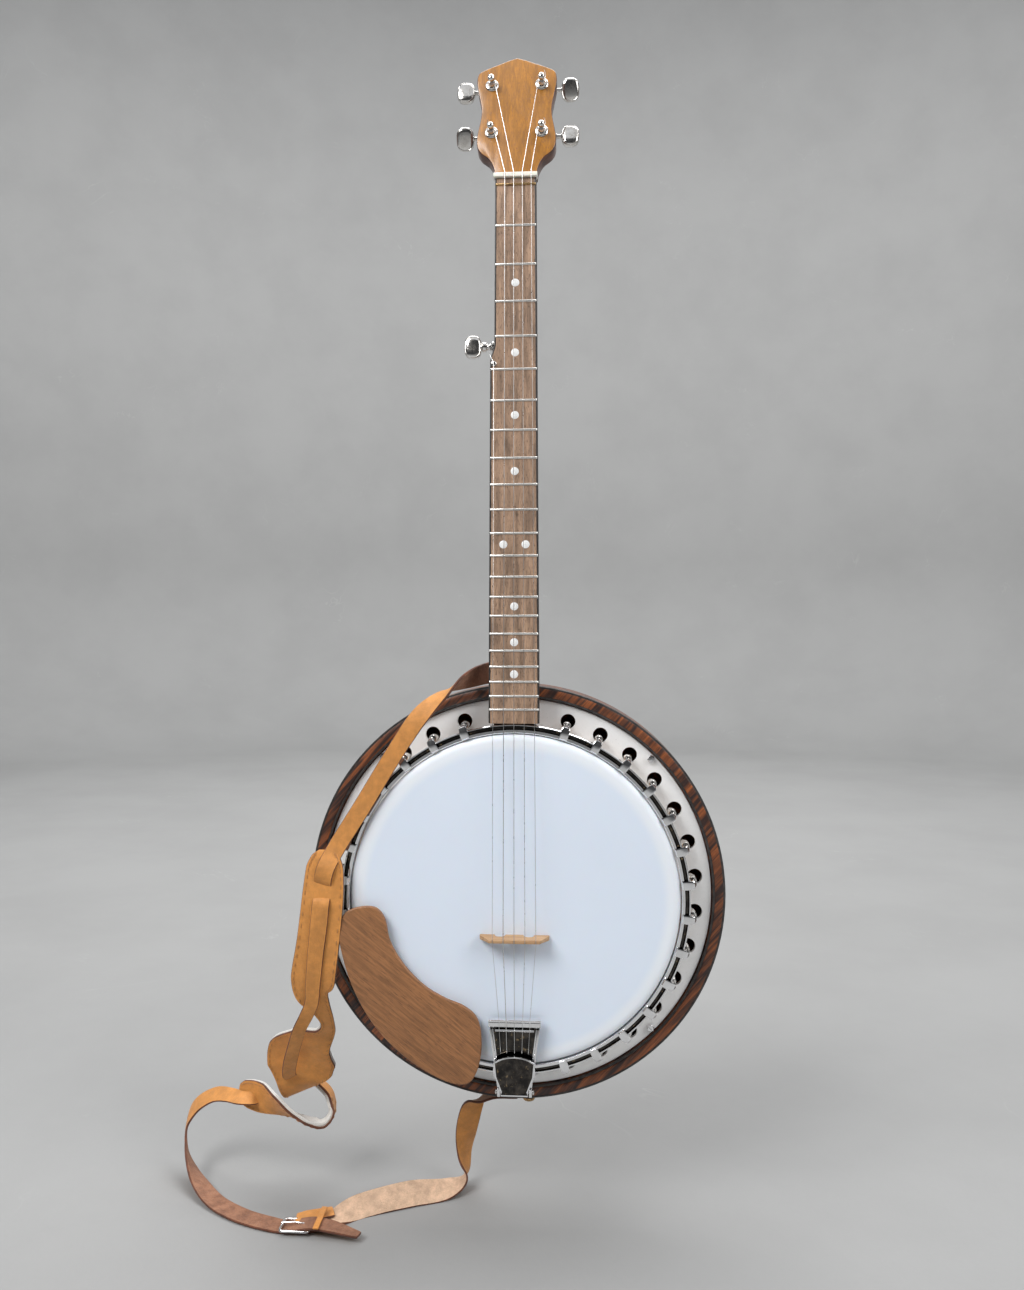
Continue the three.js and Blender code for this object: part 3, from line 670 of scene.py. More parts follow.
@functools.cache
def pearl():
    made, tree, shader, place = surface("dot_pearl", Coat_Roughness=0.1)
    swirl = noise(tree, place, 420.0, 4.0, 0.6, 2.0)
    shades = [(0.3, (0.72, 0.73, 0.75)), (0.55, (0.93, 0.92, 0.9)), (0.75, (0.82, 0.86, 0.86))]
    fill(tree, shader, "Base_Color", ramp(tree, swirl, shades))
    fill(tree, shader, "Roughness", sums(tree, "MULTIPLY_ADD", swirl, 0.2, 0.2))
    fill(tree, shader, "Coat_Weight", sums(tree, "MULTIPLY_ADD", swirl, 0.2, 0.2))
    return made


def hide(name, base, dark, pebble, rough, relief, fibrous=0.0):
    """Leather, smooth on its grain side or fibrous on its flesh side."""
    made, tree, shader, place = surface(name, Sheen_Weight=0.08, Sheen_Roughness=0.5)
    grain = use(tree, leather_grain(), Vector=place, Pebble=pebble)
    dyed = mixed(tree, between(tree, grain["Mottle"], 0.3, 0.72), dark, base)
    creased = mixed(tree, sums(tree, "MULTIPLY", grain["Crease"], 0.4), dyed, dark)
    flecks = between(tree, noise(tree, place, 1500.0, 3.0), 0.58, 0.72)
    fill(tree, shader, "Base_Color",
         mixed(tree, sums(tree, "MULTIPLY", flecks, 0.25 + fibrous), creased, dark))
    marks = use(tree, handling_marks(), Vector=place, Spacing=16.0)["Mask"]
    fill(tree, shader, "Roughness", sums(tree, "MULTIPLY_ADD", marks, 0.15, rough))
    bumped(tree, shader, grain["Height"], relief)
    return made


@functools.cache
def tan_leather():
    return hide("leather_tan", tint("leather"), tint("leather", 0.72), 1.2, 0.46, 0.00012)


@functools.cache
def pad_leather():
    return hide("leather_pad", tint("leather", 1.14), tint("leather", 0.86), 1.0, 0.42, 0.0001)


@functools.cache
def flesh_side():
    return hide("leather_flesh", tint("flesh"), tint("flesh", 0.62), 2.2, 0.8, 0.0002, 0.25)


@functools.cache
def dark_flesh():
    """The inner side of the strap's narrow ends, darker than the rest of the flesh side."""
    return hide("leather_flesh_worn", (0.38, 0.18, 0.1), (0.2, 0.085, 0.045), 2.0, 0.75, 0.00025, 0.3)


@functools.cache
def cut_edge():
    return hide("leather_cut_edge", (0.19, 0.055, 0.02), (0.07, 0.02, 0.008), 0.6, 0.6, 0.0001)


@functools.cache
def felt():
    made, tree, shader, place = surface("pad_felt", Roughness=0.95, Sheen_Weight=0.35, Sheen_Roughness=0.6)
    wool = noise(tree, place, 1400.0, 5.0, 0.7, 1.5)
    lint = noise(tree, place, 130.0, 3.0)
    pale = mixed(tree, lint, (0.80, 0.78, 0.74), (0.66, 0.63, 0.58))
    fill(tree, shader, "Base_Color", mixed(tree, between(tree, wool, 0.45, 0.7), pale, (0.5, 0.48, 0.45)))
    bumped(tree, shader, wool, 0.0006)
    return made


@functools.cache
def thread():
    made, tree, shader, place = surface("stitch_thread", Roughness=0.8)
    ply = add(tree, "TexWave", Vector=mapped(tree, place, (1, 1, 1), (0, 30, 0)), Scale=900.0).outputs[1]
    fill(tree, shader, "Base_Color", mixed(tree, ply, (0.42, 0.17, 0.05), (0.6, 0.33, 0.14)))
    bumped(tree, shader, ply, 0.0001)
    return made


@functools.cache
def studio_floor():
    made, tree, shader, place = surface("studio_floor", Roughness=0.75)
    stain = noise(tree, place, 3.0, 6.0, 0.62)
    shade = mixed(tree, between(tree, stain, 0.3, 0.75), tint("floor", 1.03), tint("floor", 0.95))
    vein = sums(tree, "ABSOLUTE", sums(tree, "SUBTRACT", noise(tree, place, 2.2, 5.0, 0.6, 0.8), 0.5))
    scuff = sums(tree, "MULTIPLY", sums(tree, "SUBTRACT", 1.0, between(tree, vein, 0.0, 0.004)),
                 between(tree, noise(tree, place, 5.0, 2.0), 0.55, 0.7))
    shade = mixed(tree, sums(tree, "MULTIPLY", scuff, 0.3), shade, tint("floor", 1.35))
    # The backdrop behind the camera is painted near-black: painted shade of a dim room, for the chrome to
    # reflect.
    split = add(tree, "SeparateXYZ", Vector=place).outputs
    behind = sums(tree, "MULTIPLY", between(tree, sums(tree, "MULTIPLY", split["Y"], -1.0), 1.8, 2.8),
                  between(tree, split["Z"], -0.2, 0.5))
    fill(tree, shader, "Base_Color", mixed(tree, behind, shade, (0.085, 0.085, 0.088)))
    bumped(tree, shader, noise(tree, place, 220.0, 3.0), 0.0002)
    return made


# ---------------------------------------------------------------- pot
def rows_of(*runs):
    """Every point of the given runs, as one list of pairs."""
    return [tuple(p) for run in runs for p in run]


def hook_angles():
    """The neck takes the place of two hooks, so they stand from one and a half pitches round."""
    count = bpy.context.scene.banjo_sizes.hook_count
    return [360 / (count + 2) * (k + 0.5) for k in range(1, count + 1)]


def heel_gap(bm):
    notch = bmesh.new()
    block(notch, (-15.6, 15.6), (-76, -36), (134, 190))
    return combine(bm, notch, "DIFFERENCE")


class BuildResonator(bpy.types.Operator):
    """Resonator bowl and the bindings of its rim"""
    bl_idname = "banjo.build_resonator"
    bl_label = "Resonator"

    def execute(self, context):
        outer = size("resonator_radius")
        back = spline([(0, 0), (60, 0), (110, -2.5), (150, -8), (170, -14), (outer - 3.2, -20.5),
                       (outer, -30)], 48)
        rim = [(outer, -66.9), (179.6, -66.9), (179.6, -70.8), (179.3, -71), (172.8, -71), (172.5, -70.8),
               (172.5, -69.1), (170.4, -69.1), (170.4, -63.4), (165, -63.4)]
        bm = bmesh.new()
        lathe(bm, rows_of(back, rim, spline([(165, -32), (150, -18), (110, -11), (0, -8)], 24)))
        piece("resonator_shell", heel_gap(bm), rosewood(), ["resonator_bowl"])
        for name, inside, outside, foot in (("edge", 179.6, outer, -67), ("inner", 170.5, 172.5, -69.2)):
            bm = bmesh.new()
            lathe(bm, [(inside, foot), (outside, foot), (outside, -70.5), (outside - 0.5, -71),
                       (inside + 0.3, -71), (inside, -70.8)])
            piece(f"binding_{name}", heel_gap(bm), binding(),
                  [f"resonator_{name}_binding"])
        return {"FINISHED"}


class BuildRim(bpy.types.Operator):
    """Wooden rim, drum head and the two rods across the pot"""
    bl_idname = "banjo.build_rim"
    bl_label = "Rim, head and rods"

    def execute(self, context):
        bm = bmesh.new()
        lathe(bm, [(132.5, -97.2), (136.2, -97.2), (137.6, -96.5), (139.2, -94.9), (139.5, -93),
                   (139.5, -22.8), (138.7, -22), (132.8, -22), (132, -22.8), (132, -96.6)])
        piece("rim", bm, rim_wood(), ["rim_shell"])
        bm = bmesh.new()
        lathe(bm, [(0, HEAD_FACE), (70, HEAD_FACE), (130, HEAD_FACE), (134.6, -98.5), (137.6, -98),
                   (139.7, -96.6), (140.7, -94.6), (141, -92), (141, -88), (140.1, -88), (140, -93.6),
                   (139.2, -95.8), (137, -97.3), (134, -97.6), (0, -97.6)])
        piece("head", bm, film(), ["drum_head"])
        for name, depth in (("front", -62), ("back", -44)):
            bm = bmesh.new()
            rod(bm, (0, depth, -131.2), (0, depth, 0),
                [(0, 0), (3.3, 0), (4, 0.7), (4, 261.7), (3.3, 262.4), (0, 262.4)])
            piece(f"coordinator_rod_{name}", bm, chrome(), [f"rod_{name}"])
        return {"FINISHED"}


class BuildFlange(bpy.types.Operator):
    """Flange plate with its holes, and the four screws that hold the resonator to it"""
    bl_idname = "banjo.build_flange"
    bl_label = "Flange"

    def execute(self, context):
        bm = bmesh.new()
        lathe(bm, [(140.1, -73.7), (140.4, -74.1), (141.6, -74.1), (142, -73.7), (142, -68.6), (142.9, -67.7),
                   (169.1, -67.7), (169.6, -67.2), (169.6, -64.2), (169.1, -63.7), (140.1, -63.7)])
        holes = bmesh.new()
        radius = size("hole_radius")
        for angle in hook_angles():
            bore = turned_place(angle, size("hole_ring"), -80)
            rod(holes, bore @ Vector((0, 0, 0)), bore @ Vector((0, 30, 0)),
                [(0, 0), (radius + 0.5, 0), (radius + 0.5, 12.1), (radius, 12.6), (radius, 30), (0, 30)],
                36)
        piece("flange_sheet", heel_gap(combine(bm, holes, "DIFFERENCE")), satin_metal(),
              ["flange"])
        for i, (x, z) in enumerate(((1, 1), (1, -1), (-1, -1), (-1, 1))):
            place = Matrix.Translation((x * 117.2, 0, z * 117.2))
            bm = bmesh.new()
            lathe(bm, [(0, -68.1), (3.3, -68.1), (3.3, -69), (3.3, -70.4), (2.5, -71.3), (0, -71.5)], place,
                  48,
                  {2: (24, 0.3), 3: (24, 0.3)})
            slot = bmesh.new()
            block(slot, (-4, 4), (-72, -70.4), (-0.45, 0.45), place @ Matrix.Rotation(0.7 * i, 4, "Y"))
            piece(f"thumb_screw_{i + 1}", combine(bm, slot, "DIFFERENCE"), chrome(),
                  [f"resonator_screw_{i + 1}"])
        return {"FINISHED"}


def lozenge(width, thick, square, count=14):
    """A section between a rounded bar, square near 0.3, and an ellipse, square of 1."""
    made = []
    for k in range(count):
        c, s = math.cos(math.tau * k / count), math.sin(math.tau * k / count)
        made.append((math.copysign(abs(c) ** square, c) * width / 2,
                     math.copysign(abs(s) ** square, s) * thick / 2))
    return made


def hoop_groove(face):
    """1 in the groove around the hoop's face, which gets the chrome painted dark as painted shade."""
    middle = face.calc_center_median()
    return int(144.5 < math.hypot(middle.x, middle.z) < 147.4 and middle.y < -94)


class BuildHoop(bpy.types.Operator):
    """Tension hoop, its hooks and their nuts"""
    bl_idname = "banjo.build_hoop"
    bl_label = "Hoop and hooks"

    def execute(self, context):
        bm = bmesh.new()
        outer = size("hoop_radius")
        lathe(bm, [(141.5, -88.3), (141.5, -96.3), (142.1, -97), (144.3, -97), (144.9, -96.4), (145.2, -94.9),
                   (147, -94.9), (147.3, -96.3), (147.8, -97), (148.5, -97), (outer, -96.4), (outer, -88.6),
                   (148.4, -88), (141.8, -88)], steps=224)
        # The groove takes the second finish: chrome painted dark, as painted shade in the recess.
        piece("hoop", bm, [chrome(), dark_painted_chrome()], ["tension_hoop"], choose=hoop_groove)
        ring = size("hook_ring")
        stations = [(142.6, -97.9, 6, 1, 0.35), (143, -98.1, 7.2, 1.7, 0.3), (146.2, -98.4, 7.4, 1.9, 0.3),
                    (149.8, -98.3, 7.2, 2, 0.35), (ring - 1, -97.4, 6.4, 2.6, 0.5),
                    (ring - 0.2, -95.2, 4.6, 3.2, 0.8),
                    (ring, -92.5, 3.8, 3.8, 1), (ring, -80, 3.6, 3.6, 1), (ring, -50, 3.6, 3.6, 1),
                    (ring, -46.4, 3, 3, 1)]
        hooks = bmesh.new()
        nuts = bmesh.new()
        for angle in hook_angles():
            turn = Matrix.Rotation(math.radians(angle), 4, "Y")
            route = [turn @ Vector((0, depth, radius)) for radius, depth, *_ in stations]
            sweep(hooks, route, lambda i: lozenge(*stations[i][2:]),
                  [turn @ Vector((1, 0, 0))] * len(route))
            place = turned_place(angle, ring, -81)
            rod(nuts, place @ Vector((0, 0, 0)), place @ Vector((0, 1, 0)),
                [(1.9, 0), (2.8, 0), (3.3, 0.5), (3.3, 1.5), (2.7, 2.2), (2.7, 3), (3.3, 3.8), (3.3, 22),
                 (1.9, 22)], 20)
        piece("bracket_hooks", hooks, chrome())
        piece("bracket_nuts", nuts, nickel())
        return {"FINISHED"}


# ---------------------------------------------------------------- neck
NUT_HALF_WIDTH = 17.9
END_HALF_WIDTH = 21.5
ZERO_FRET = 465.9
BOARD_LENGTH = 471.4
PEG_ALONG = 327
PEG_DEPTH = 11.5


def smooth(value, low, high):
    t = min(max((value - low) / (high - low), 0), 1)
    return t * t * (3 - 2 * t)


def right_edge(t):
    return END_HALF_WIDTH + (NUT_HALF_WIDTH - END_HALF_WIDTH) * min(max(t, 0), BOARD_LENGTH) / ZERO_FRET


def left_edge(t):
    """The bass side widens below the fifth fret, where the short string starts."""
    t = min(max(t, 0), BOARD_LENGTH)
    upper = NUT_HALF_WIDTH + 0.3 * (ZERO_FRET - t) / ZERO_FRET
    return -(END_HALF_WIDTH + (upper - END_HALF_WIDTH) * smooth(t, 312, 326))


def fret_at(n):
    return ZERO_FRET - size("scale_length") * (1 - 2 ** (-n / 12))


def along_board():
    return [0.3, *range(15, 301, 15), *range(306, 333, 2), *range(345, 466, 15), BOARD_LENGTH]


def neck_ring(t, front, back, end_radius=None):
    """The neck's section: flat in front, round behind, and a narrow, deeper block at the heel."""
    heel = 1 - smooth(t, 42, 96)
    half = (right_edge(t) - left_edge(t)) / 2
    middle = (right_edge(t) + left_edge(t)) / 2
    shoulder = 0.16 + 0.6 * heel
    made = []
    for k in range(-13, 14):
        turn = max(-1, min(1, k / 12)) * math.pi / 2
        side = math.sin(turn)
        sunk = 0 if abs(k) == 13 else shoulder + (1 - shoulder) * math.cos(turn)
        depth = front + (back - front) * sunk
        width = half + (14.4 - half) * heel * smooth(depth, 8, 19)
        x = middle * (1 - heel) + width * side
        height = t
        if end_radius:
            height = (math.sqrt(end_radius ** 2 - x ** 2) - 149.8 + depth * math.sin(math.radians(3)))
        made.append(at(NECK, x, depth, height))
    return made


class BuildNeck(bpy.types.Operator):
    """Neck with its heel and the headstock"""
    bl_idname = "banjo.build_neck"
    bl_label = "Neck"

    def execute(self, context):
        bm = bmesh.new()
        depths = spline([(-12, 62.6), (31, 59.6), (37, 50.5), (43.5, 40.5), (52, 32.6), (64, 27),
                         (90, 22.3),
                         (200, 21.6), (471, 20), (482, 19), (491, 14)], 90)
        rings = [neck_ring(-9, 13.4, 62.4, 140.5), neck_ring(-0.4, 13.4, 62.2), neck_ring(0.2, 6.2, 62.2)]
        rings += [neck_ring(t, 6.2, depth) for t, depth in depths if t > 1]
        skin(bm, rings)
        side = [(18.6, 0), (19.4, 6), (24, 15), (31, 21), (34.2, 27), (34.6, 36), (33, 46), (31.2, 56),
                (31, 64),
                (33, 76), (35, 87), (35.2, 93), (33.6, 99), (27, 103), (16, 107.5), (8, 110.8), (0, 113.4)]
        right = spline(side, 72)
        outline = right + [Vector((-p.x, p.y)) for p in right[-2::-1]]
        head = bmesh.new()
        plate(head, outline, 0, 14, HEADSTOCK)
        soften(head, 1.0, 3, 50)
        bm = combine(bm, head, "UNION")
        bores = bmesh.new()
        for x in (-22, 22):
            for s in (86.5, 40.5):
                rod(bores, at(HEADSTOCK, x, -5, s), at(HEADSTOCK, x, 25, s),
                    [(0, 0), (3.7, 0), (3.7, 30), (0, 30)], 32)
        rod(bores, at(NECK, -26, PEG_DEPTH, PEG_ALONG), at(NECK, -6, PEG_DEPTH, PEG_ALONG),
            [(0, 0), (4.4, 0), (4.4, 20), (0, 20)], 32)
        bm = combine(bm, bores, "DIFFERENCE")

        def face_or_side(face):
            return int(face.calc_center_median().z > 625 and face.normal.y < -0.85)

        piece("neck_and_headstock", bm, [neck_wood(), headstock_wood()], ["neck"],
              choose=face_or_side)
        return {"FINISHED"}


class BuildFretboard(bpy.types.Operator):
    """Fretboard with its bindings, frets, dots and nuts"""
    bl_idname = "banjo.build_fretboard"
    bl_label = "Fretboard"

    def execute(self, context):
        stops = along_board()
        edge = 1.5
        bm = bmesh.new()
        right = [(right_edge(t) - edge, t) for t in stops]
        left = [(left_edge(t) + edge, t) for t in stops[::-1]]
        plate(bm, right + left,
              0, 6, NECK)
        piece("board", bm, board_wood(), ["fretboard"])
        bm = bmesh.new()
        for line, sign in ((right_edge, -1), (left_edge, 1)):
            plate(bm, [(line(t), t) for t in stops] + [(line(t) + sign * edge, t) for t in stops[::-1]], 0,
                  6, NECK)
        soften(bm, 0.35, 2, 50)
        piece("board_binding", bm, binding())
        for name, numbers, finish, slot in (("zero_fret", [0], aged_brass(), "button_brass"),
                                            ("frets", range(1, context.scene.banjo_sizes.fret_count + 1),
                                             fret_metal(), "chrome_trim")):
            bm = bmesh.new()
            for n in numbers:
                t = fret_at(n)
                height = 1.3 if n == 0 else 1.0
                first, last = left_edge(t) + 0.4, right_edge(t) - 0.4
                stations = [(first, 0.3), (first + 0.35, 0.8), (first + 0.9, 1), (last - 0.9, 1),
                            (last - 0.35, 0.8), (last, 0.3)]
                crown = [(math.cos(math.pi * k / 8) * 1.05, math.sin(math.pi * k / 8)) for k in range(9)]
                sweep(bm, [at(NECK, x, 0.05, t) for x, _ in stations],
                      lambda i: [(a, b * height * stations[i][1]) for a, b in crown],
                      [at(NECK, 0, 0, 1) - at(NECK, 0, 0, 0)] * len(stations))
            piece(name, bm, finish)
        bm = bmesh.new()
        radius = size("dot_radius")
        spots = [(n, 0) for n in (3, 5, 7, 9, 15, 17, 19)] + [(12, -9.5), (12, 9.5)]
        for n, x in spots:
            t = (fret_at(n - 1) + fret_at(n)) / 2
            rod(bm, at(NECK, x, -0.1, t), at(NECK, x, 1, t),
                [(0, 0), (radius - 0.3, 0), (radius, 0.12), (radius, 0.8), (0, 0.8)], 40)
        piece("position_dots", bm, pearl())
        bm = bmesh.new()
        plate(bm, [(-19.2, 471.8), (18.8, 471.8), (18.8, 475.8), (-19.2, 475.8)], -2.4, 5, NECK)
        soften(bm, 0.6, 3)
        slots = bmesh.new()
        for x in NUT_X[1:]:
            rod(slots, at(NECK, x, -2.5, 470), at(NECK, x, -2.5, 478),
                [(0, 0), (0.55, 0), (0.55, 8), (0, 8)], 12)
        piece("nut_bone", combine(bm, slots, "DIFFERENCE"), bone(), ["nut"])
        bm = bmesh.new()
        centre = NECK @ Matrix.Translation((-18.2, 0, 308.4))
        lathe(bm, [(0, -2.4), (1.5, -2.4), (2.2, -2), (2.4, -1.4), (2.4, -0.1), (0, -0.1)], centre, 32)
        slot = bmesh.new()
        block(slot, (-0.35, 0.35), (-3, -1.7), (-3, 3), centre)
        piece("fifth_string_pip", combine(bm, slot, "DIFFERENCE"), nickel(),
              ["fifth_string_nut"])
        return {"FINISHED"}


# ---------------------------------------------------------------- bridge, strings, tailpiece
BRIDGE_Z = -31
BRIDGE_TOP = 16
BRIDGE_X = (-17.2, -8.1, 1.0, 10.1, 19.2)
NUT_X = (None, -9.3, -1.7, 5.9, 13.5)
TAIL_X = (-12, -6, 1, 8, 14)
WIRES = (0.19, 0.32, 0.27, 0.23, 0.2)
TAIL_FACE = -108.8
TAIL = Matrix.Translation((1, 0, 0))
POSTS = ((22, 86.5, 1), (22, 40.5, 1), (-22, 40.5, -1), (-22, 86.5, -1))
STRING_POST = (None, 3, 4, 1, 2)


class BuildBridge(bpy.types.Operator):
    """Three-footed bridge"""
    bl_idname = "banjo.build_bridge"
    bl_label = "Bridge"

    def execute(self, context):
        upright = Matrix(((1, 0, 0, 0.5), (0, 0, -1, HEAD_FACE - 0.1), (0, 1, 0, BRIDGE_Z), (0, 0, 0, 1)))
        outline = rounded([(-29.5, 0), (-17, 0), (-15.8, 6, 3), (-8.8, 6, 3), (-7.5, 0), (7.5, 0),
                           (8.8, 6, 3),
                           (15.8, 6, 3), (17, 0), (29.5, 0), (29.5, 3.2, 1), (24, 12.2, 5), (22, 16.2, 1),
                           (-21, 16.2, 1), (-23, 12.2, 5), (-29.5, 3.2, 1)], 0.6)
        bm = bmesh.new()
        plate(bm, outline, -1.8, 1.8, upright)
        for vert in bm.verts:
            height = HEAD_FACE - vert.co.y
            vert.co.z = BRIDGE_Z + (vert.co.z - BRIDGE_Z) * (1 - 0.28 * smooth(height, 5, BRIDGE_TOP))
        soften(bm, 0.3, 2, 40)
        slots = bmesh.new()
        for x in BRIDGE_X:
            block(slots, (x - 0.4, x + 0.4), (HEAD_FACE - 17, HEAD_FACE - 15.9),
                  (BRIDGE_Z - 4, BRIDGE_Z + 4))
        piece("bridge_maple", combine(bm, slots, "DIFFERENCE"), bridge_wood(), ["bridge"])
        return {"FINISHED"}


class BuildStrings(bpy.types.Operator):
    """Five strings, and their windings on the posts"""
    bl_idname = "banjo.build_strings"
    bl_label = "Strings"

    def execute(self, context):
        for i in range(5):
            self.string(i)
        return {"FINISHED"}

    def string(self, i):
        wire = WIRES[i]
        lift = wire + 0.1
        if i == 0:
            route = [at(NECK, -23.4, 7.4, PEG_ALONG - 1.4), at(NECK, -22.6, 3, 322),
                     at(NECK, -21.4, -1, 315.6),
                     at(NECK, -18.6, -2.1 - lift, 310), at(NECK, -18.2, -2.4 - lift, 306.8)]
        else:
            x, s, side = POSTS[STRING_POST[i] - 1]
            route = [at(HEADSTOCK, x - side * (2.35 + wire), -6, s),
                     at(NECK, NUT_X[i], -2.5 - lift, 476.2), at(NECK, NUT_X[i], -2.5 - lift, 471.4),
                     at(NECK, NUT_X[i], -1.35 - lift, ZERO_FRET)]
        bridge_y = HEAD_FACE - BRIDGE_TOP - lift - 0.1
        route += [Vector((BRIDGE_X[i], bridge_y, BRIDGE_Z + 1.8)),
                  Vector((BRIDGE_X[i], bridge_y, BRIDGE_Z - 1.8)),
                  Vector((TAIL_X[i], TAIL_FACE - lift - 0.2, -98.5)),
                  Vector((TAIL_X[i], TAIL_FACE - lift, -103)),
                  Vector((TAIL_X[i] * 0.9, TAIL_FACE + 1.4, -127))]
        bm = bmesh.new()
        tube(bm, route, wire, 8)
        piece(f"string_wire_{i + 1}", bm, wire_steel(), [f"string_{i + 1}"])
        if i == 0:
            return
        x, s, side = POSTS[STRING_POST[i] - 1]
        reach = 2.35 + wire
        coil = []
        for k in range(3 * 20 + 8):
            turn = k / 20 * math.tau
            coil.append(at(HEADSTOCK, x - side * reach * math.cos(turn), -6 + wire * 2.1 * k / 20 - 0.2,
                           s - reach * math.sin(turn)))
        coil += [at(HEADSTOCK, x + side * 3.4, -5.4, s + 3.8), at(HEADSTOCK, x + side * 2.4, -7.8, s + 7.2)]
        bm = bmesh.new()
        tube(bm, coil, wire, 8)
        piece(f"string_winding_{i + 1}", bm, wire_steel(), body=f"post_{STRING_POST[i]}")


def mirror_face(face, front):
    """1 on the broad faces just behind the given depth, which get the painted dark reflection."""
    depth = face.calc_center_median().y
    return int(abs(face.normal.y) > 0.9 and front < depth < front + 1.5)


class BuildTailpiece(bpy.types.Operator):
    """Tailpiece with its hinged cover and pin"""
    bl_idname = "banjo.build_tailpiece"
    bl_label = "Tailpiece"

    def execute(self, context):
        bm = bmesh.new()
        sheet = [(-21.2, -99), (21.2, -99), (21, -106), (16.9, -135), (14.4, -158), (-14.4, -158),
                 (-16.9, -135),
                 (-21, -106)]
        # The well under the lid is chrome painted dark, as painted shade.
        plate(bm, sheet, -105.5, -104.2, TAIL)
        piece("tailpiece_well", bm, dark_painted_chrome())
        bm = bmesh.new()
        for sign in (-1, 1):
            for outer, inner, front in (((21.2, 17.0), 19.4, -108.3), ((19.2, 15.4), 17.9, -107.2)):
                wall = [(outer[0], -106.4), (outer[1] - 2.6, -157.6),
                        (outer[1] - 2.6 - (outer[0] - inner), -157.6),
                        (inner, -106.4)]
                plate(bm, [(x * sign, z) for x, z in wall], front, -105.2, TAIL)
            block(bm, (sign * 13.4 - 1.2, sign * 13.4 + 1.2), (-109.4, -104), (-163, -156), TAIL)
        soften(bm, 0.3, 2, 40)
        lip = [(-98.2, -107.3), (-98.2, -104.4), (-104.6, -104.4), (-105.2, -107.6), (-104.2, -108.5),
               (-101.4, -108.5),
               (-100.9, -107.9), (-100.4, -108.5), (-99, -108.5)]
        ends = [[TAIL @ Vector((x, depth, height)) for height, depth in lip] for x in (-22, -21.7, 21.7,
            22)]
        skin(bm, ends)
        rod(bm, TAIL @ Vector((-16.4, -107.6, -107.6)), TAIL @ Vector((16.4, -107.6, -107.6)),
            [(0, 0), (1.0, 0), (1.0, 32.8), (0, 32.8)], 20)
        block(bm, (-6, 6), (-104.4, -102), (-163, -150), TAIL)
        block(bm, (-6, 6), (-103, -68.4), (-162.8, -160.8), TAIL)
        rod(bm, TAIL @ Vector((0, -90, -163.6)), TAIL @ Vector((0, -90, -158)),
            [(0, 0), (3.2, 0), (3.6, 0.5), (3.6, 2.6), (2.4, 2.7), (2.4, 5.6), (0, 5.6)], 6)
        bore = bmesh.new()
        rod(bore, (-20, -107.2, -159.5), (20, -107.2, -159.5), [(0, 0), (1.15, 0), (1.15, 40), (0, 40)], 20)
        piece("tailpiece_tray", combine(bm, bore, "DIFFERENCE"), chrome(),
              ["tailpiece_base"])
        arch = spline([(17.4, -133), (10, -129.2), (0, -127.7), (-10, -129.2), (-17.4, -133)], 24)
        lower = [(-16.2, -145), (-11.4, -157.6), (-11.4, -161), (11.4, -161), (11.4, -157.6), (16.2, -145)]
        outline = [tuple(p) for p in arch] + lower
        bm = bmesh.new()
        plate(bm, outline, -111.9, -110.3, TAIL)
        soften(bm, 0.3, 2, 40)
        frame_ring = bmesh.new()
        plate(frame_ring, outline, -112.6, -111.4, TAIL)
        window = bmesh.new()
        plate(window, inset(outline, 1.2), -114, -110, TAIL)
        frame_ring = combine(frame_ring, window, "DIFFERENCE")
        soften(frame_ring, 0.25, 2, 40)
        bm = combine(bm, frame_ring, "UNION")
        hinge = bmesh.new()
        block(hinge, (-11.3, 11.3), (-111.6, -105.9), (-160.9, -158.5), TAIL)
        soften(hinge, 0.8, 3)
        bm = combine(bm, hinge, "UNION")
        bore = bmesh.new()
        rod(bore, (-20, -107.2, -159.5), (20, -107.2, -159.5), [(0, 0), (1.15, 0), (1.15, 40), (0, 40)], 20)
        # The lid's broad mirror faces take the chrome painted dark, as a painted reflection of a dark room.
        piece("tailpiece_lid", combine(bm, bore, "DIFFERENCE"), [chrome(), dark_painted_chrome()],
              ["tailpiece_cover"], "tailpiece_cover", lambda face: mirror_face(face, -112.2))
        bm = bmesh.new()
        rod(bm, TAIL @ Vector((-16.6, -107.2, -159.5)), TAIL @ Vector((0, -107.2, -159.5)),
            [(0, 0), (1.2, 0.1), (1.9, 0.7), (1.9, 1.5), (0.9, 1.6), (0.9, 31.6), (1.9, 31.7), (1.9, 32.5),
             (1.2, 33.1), (0, 33.2)], 24)
        piece("hinge_pin", bm, nickel(), ["tailpiece_pin"])
        return {"FINISHED"}


# ---------------------------------------------------------------- armrest
ARMREST_EDGE = (
    (-149, -27), (-144, -12), (-131, -6), (-117, -6.5), (-109.5, -15), (-105, -34), (-94, -53),
    (-76, -71.5),
    (-58, -82), (-41, -89), (-31, -98), (-27, -116), (-30, -141), (-38, -153.5), (-52, -154), (-76, -143.5),
    (-98, -128), (-119, -106), (-136, -77), (-146, -47))
ARMREST_FRONT = -107.5
ARMREST_BACK = -103
ARMREST_CLAMPS = (236.25, 213.75)


